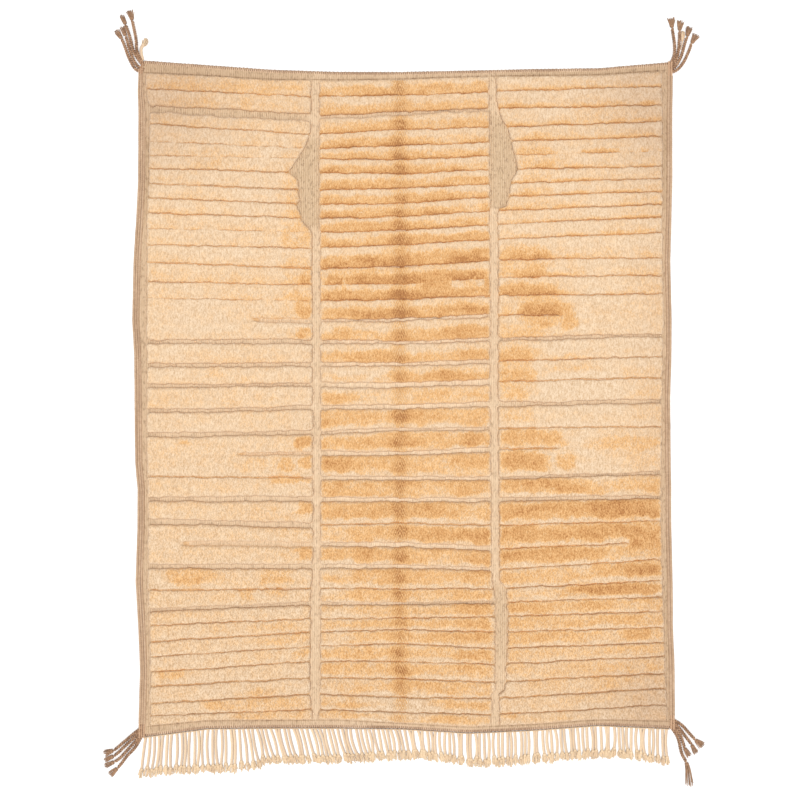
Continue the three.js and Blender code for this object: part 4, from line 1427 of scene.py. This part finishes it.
def strand(wide, high, long, seed, tone_range=(0.45, 0.75), tuft_long=TUFT_LONG):
    """One bundle along x: two twisted plies, a knot and a tuft."""
    dice = np.random.default_rng(seed)
    tuft = tuft_long * dice.uniform(0.75, 1.15)
    woven = long - tuft - KNOT_LONG
    rings = max(8, round(woven / 6.5))
    piece = tube(rings, 6)
    share, across, up = np.moveaxis(crowd(piece, 2), 2, 0)
    phase = dice.uniform(-0.5, 0.3) + share * woven / TWIST + np.array(((0.0,), (math.pi,)))
    x = share * (woven + 4)
    y = np.cos(phase) * wide * 0.24 + across * wide * 0.36
    z = high / 2 + np.sin(phase) * high * 0.16 + up * high * 0.33
    move_points(piece, np.stack([x, y, z], axis=-1).reshape(-1, 3))
    tone = dice.uniform(*tone_range)
    # One ply is painted darker than the other: painted shade on one side of the strand.
    paint(piece, "tone", (tone + np.array(((-0.5,), (0.1,))) + 0 * share).ravel())
    outward(piece)
    parts = [
        piece,
        ovals(
            [(woven + KNOT_LONG / 2, 0, high * 0.62)] * 2,
            ((KNOT_LONG, wide * 1.5, high * 1.2), (wide * 1.5, 6.5, high * 1.24)),
            np.array((0.0, dice.uniform(0.9, 1.3))),
            np.array((tone, tone + 0.1)),
        ),
        wisps(
            9,
            woven + KNOT_LONG - 6,
            tuft + 10,
            root=wide * 1.3,
            tip=TUFT_WIDE,
            high=high * 1.2,
            tone=tone,
            seed=seed,
            curl=3.0,
            rounding=0.34,
        ),
    ]
    return joined("strand", parts)


def fringe_piece():
    dice = np.random.default_rng(500)
    pitch = (FRINGE_TO - FRINGE_FROM) / STRANDS
    strip = overcast(
        lambda x: end("bottomEdge", x) - STRIP_WIDE / 2 - 0.6,
        FRINGE_FROM,
        FRINGE_TO,
        lambda x: STRIP_WIDE,
        STRIP_HIGH,
        tone=0.4,
        seed=501,
        pitch=8.0,
        crosswise=True,
    )
    parts = [strip]
    for i in range(STRANDS):
        x = FRINGE_FROM + (i + 0.5 + dice.uniform(-0.22, 0.22)) * pitch
        top = float(end("bottomEdge", x)) - 2.5
        tip = float(read(FRINGE, "x", "tip", x)) + dice.uniform(-5, 5)
        lean = float(read(FRINGE, "x", "lean", x)) + dice.uniform(-5, 5)
        sway = dice.uniform(-6, 6)
        route = [
            (x + lean * share + sway * math.sin(math.pi * share * 1.3), top + share * (tip - top))
            for share in (0, 0.2, 0.4, 0.6, 0.8, 1.0)
        ]
        parts.append(lay_along(strand(STRAND_WIDE, STRAND_HIGH, length_of(route), 510 + i), route))
    return joined("knotted_fringe", parts)


settle(fringe_piece(), ["fringe"], CREAM_YARN)

# %% [markdown]
# ## Two stray cream ends
# At the upper end two cream warps came out beside the plaits: a small tassel on the left and a thin strand on
# the right. They are made like one bundle of the fringe.

# %% Cream ends
CREAM_ENDS = {
    "warp_tassel_top_left": (
        12.0,
        ((-1200, 1556), (-1207, 1594), (-1206, 1614), (-1194, 1630), (-1184, 1657)),
    ),
    "warp_end_top_right": (5.5, ((1278, 1606), (1285, 1630), (1288, 1656), (1290, 1688))),
}


def cream_end(name, seed):
    wide, route = CREAM_ENDS[name]
    piece = lay_along(strand(wide, wide * 0.75, length_of(route), seed, (0.25, 0.35), BRUSH_LONG), route)
    piece.name = piece.data.name = name.replace("warp", "cream")
    return piece


for i, name in enumerate(CREAM_ENDS):
    settle(cream_end(name, 700 + i), [name], CREAM_YARN)

# %% [markdown]
# ## Floor, light and camera
# The rug lies on a plain pale floor and is seen from straight above. A lamp near the camera lights the
# grooves down to their floor. It is a sun with a wide disc, so its light is soft and even over the whole rug.
# A second one, lower and weaker, shines from beyond the fringe and gives the wool its relief, and the world
# fills in from all sides.

# %% Floor
PHOTO_SIDE = 800  # pixels
PIXEL = 4.6  # millimetres of rug to a pixel
VIEW_CENTRE = (-13.8, -9.2)
CAMERA_HIGH = 5.2
FILL = 0.57  # strength of the light from all sides

bpy.ops.object.select_all(action="DESELECT")
bpy.ops.mesh.primitive_plane_add(size=40, location=(0, 0, -0.0005))
floor = bpy.context.object
floor.name = "floor"
floor_paint, _, shader = wool("pale_floor", sheen=0.0)
shader.inputs["Base Color"].default_value = (0.93, 0.93, 0.93, 1)
floor.data.materials.append(floor_paint)

# %% Light
world = bpy.data.worlds.new("studio")
bpy.context.scene.world = world
world.use_nodes = True
world.node_tree.nodes["Background"].inputs["Color"].default_value = (1, 1, 1, 1)
world.node_tree.nodes["Background"].inputs["Strength"].default_value = FILL


def soft_sun(name, place, disc, power):
    """A sun that shines from a place towards the middle of the rug. A wide disc makes its shadows soft."""
    data = bpy.data.lights.new(name, "SUN")
    data.angle, data.energy = math.radians(disc), power
    lamp = bpy.data.objects.new(name, data)
    lamp.location = place
    lamp.rotation_euler = lamp.location.to_track_quat("Z", "Y").to_euler()
    bpy.context.scene.collection.objects.link(lamp)


soft_sun("overhead", place=(0.1, -0.2, 5.0), disc=28, power=2.05)
soft_sun("window", place=(-0.9, -4.3, 3.9), disc=24, power=0.65)

# %% Camera
data = bpy.data.cameras.new("camera")
camera = bpy.data.objects.new("camera", data)
bpy.context.scene.collection.objects.link(camera)
camera.location = (VIEW_CENTRE[0] * MM, VIEW_CENTRE[1] * MM, CAMERA_HIGH)
half_width = PHOTO_SIDE * PIXEL * MM / 2
data.sensor_width = 36
data.lens = data.sensor_width / 2 * (CAMERA_HIGH - CORD_HIGH * MM) / half_width
bpy.context.scene.camera = camera
bpy.context.scene.view_settings.view_transform = "Standard"
print(f"lens {data.lens:.1f} mm, {CAMERA_HIGH} m above the floor")

# %% [markdown]
# ## The end
# The view layer is brought up to date.

# %% The end
bpy.context.view_layer.update()
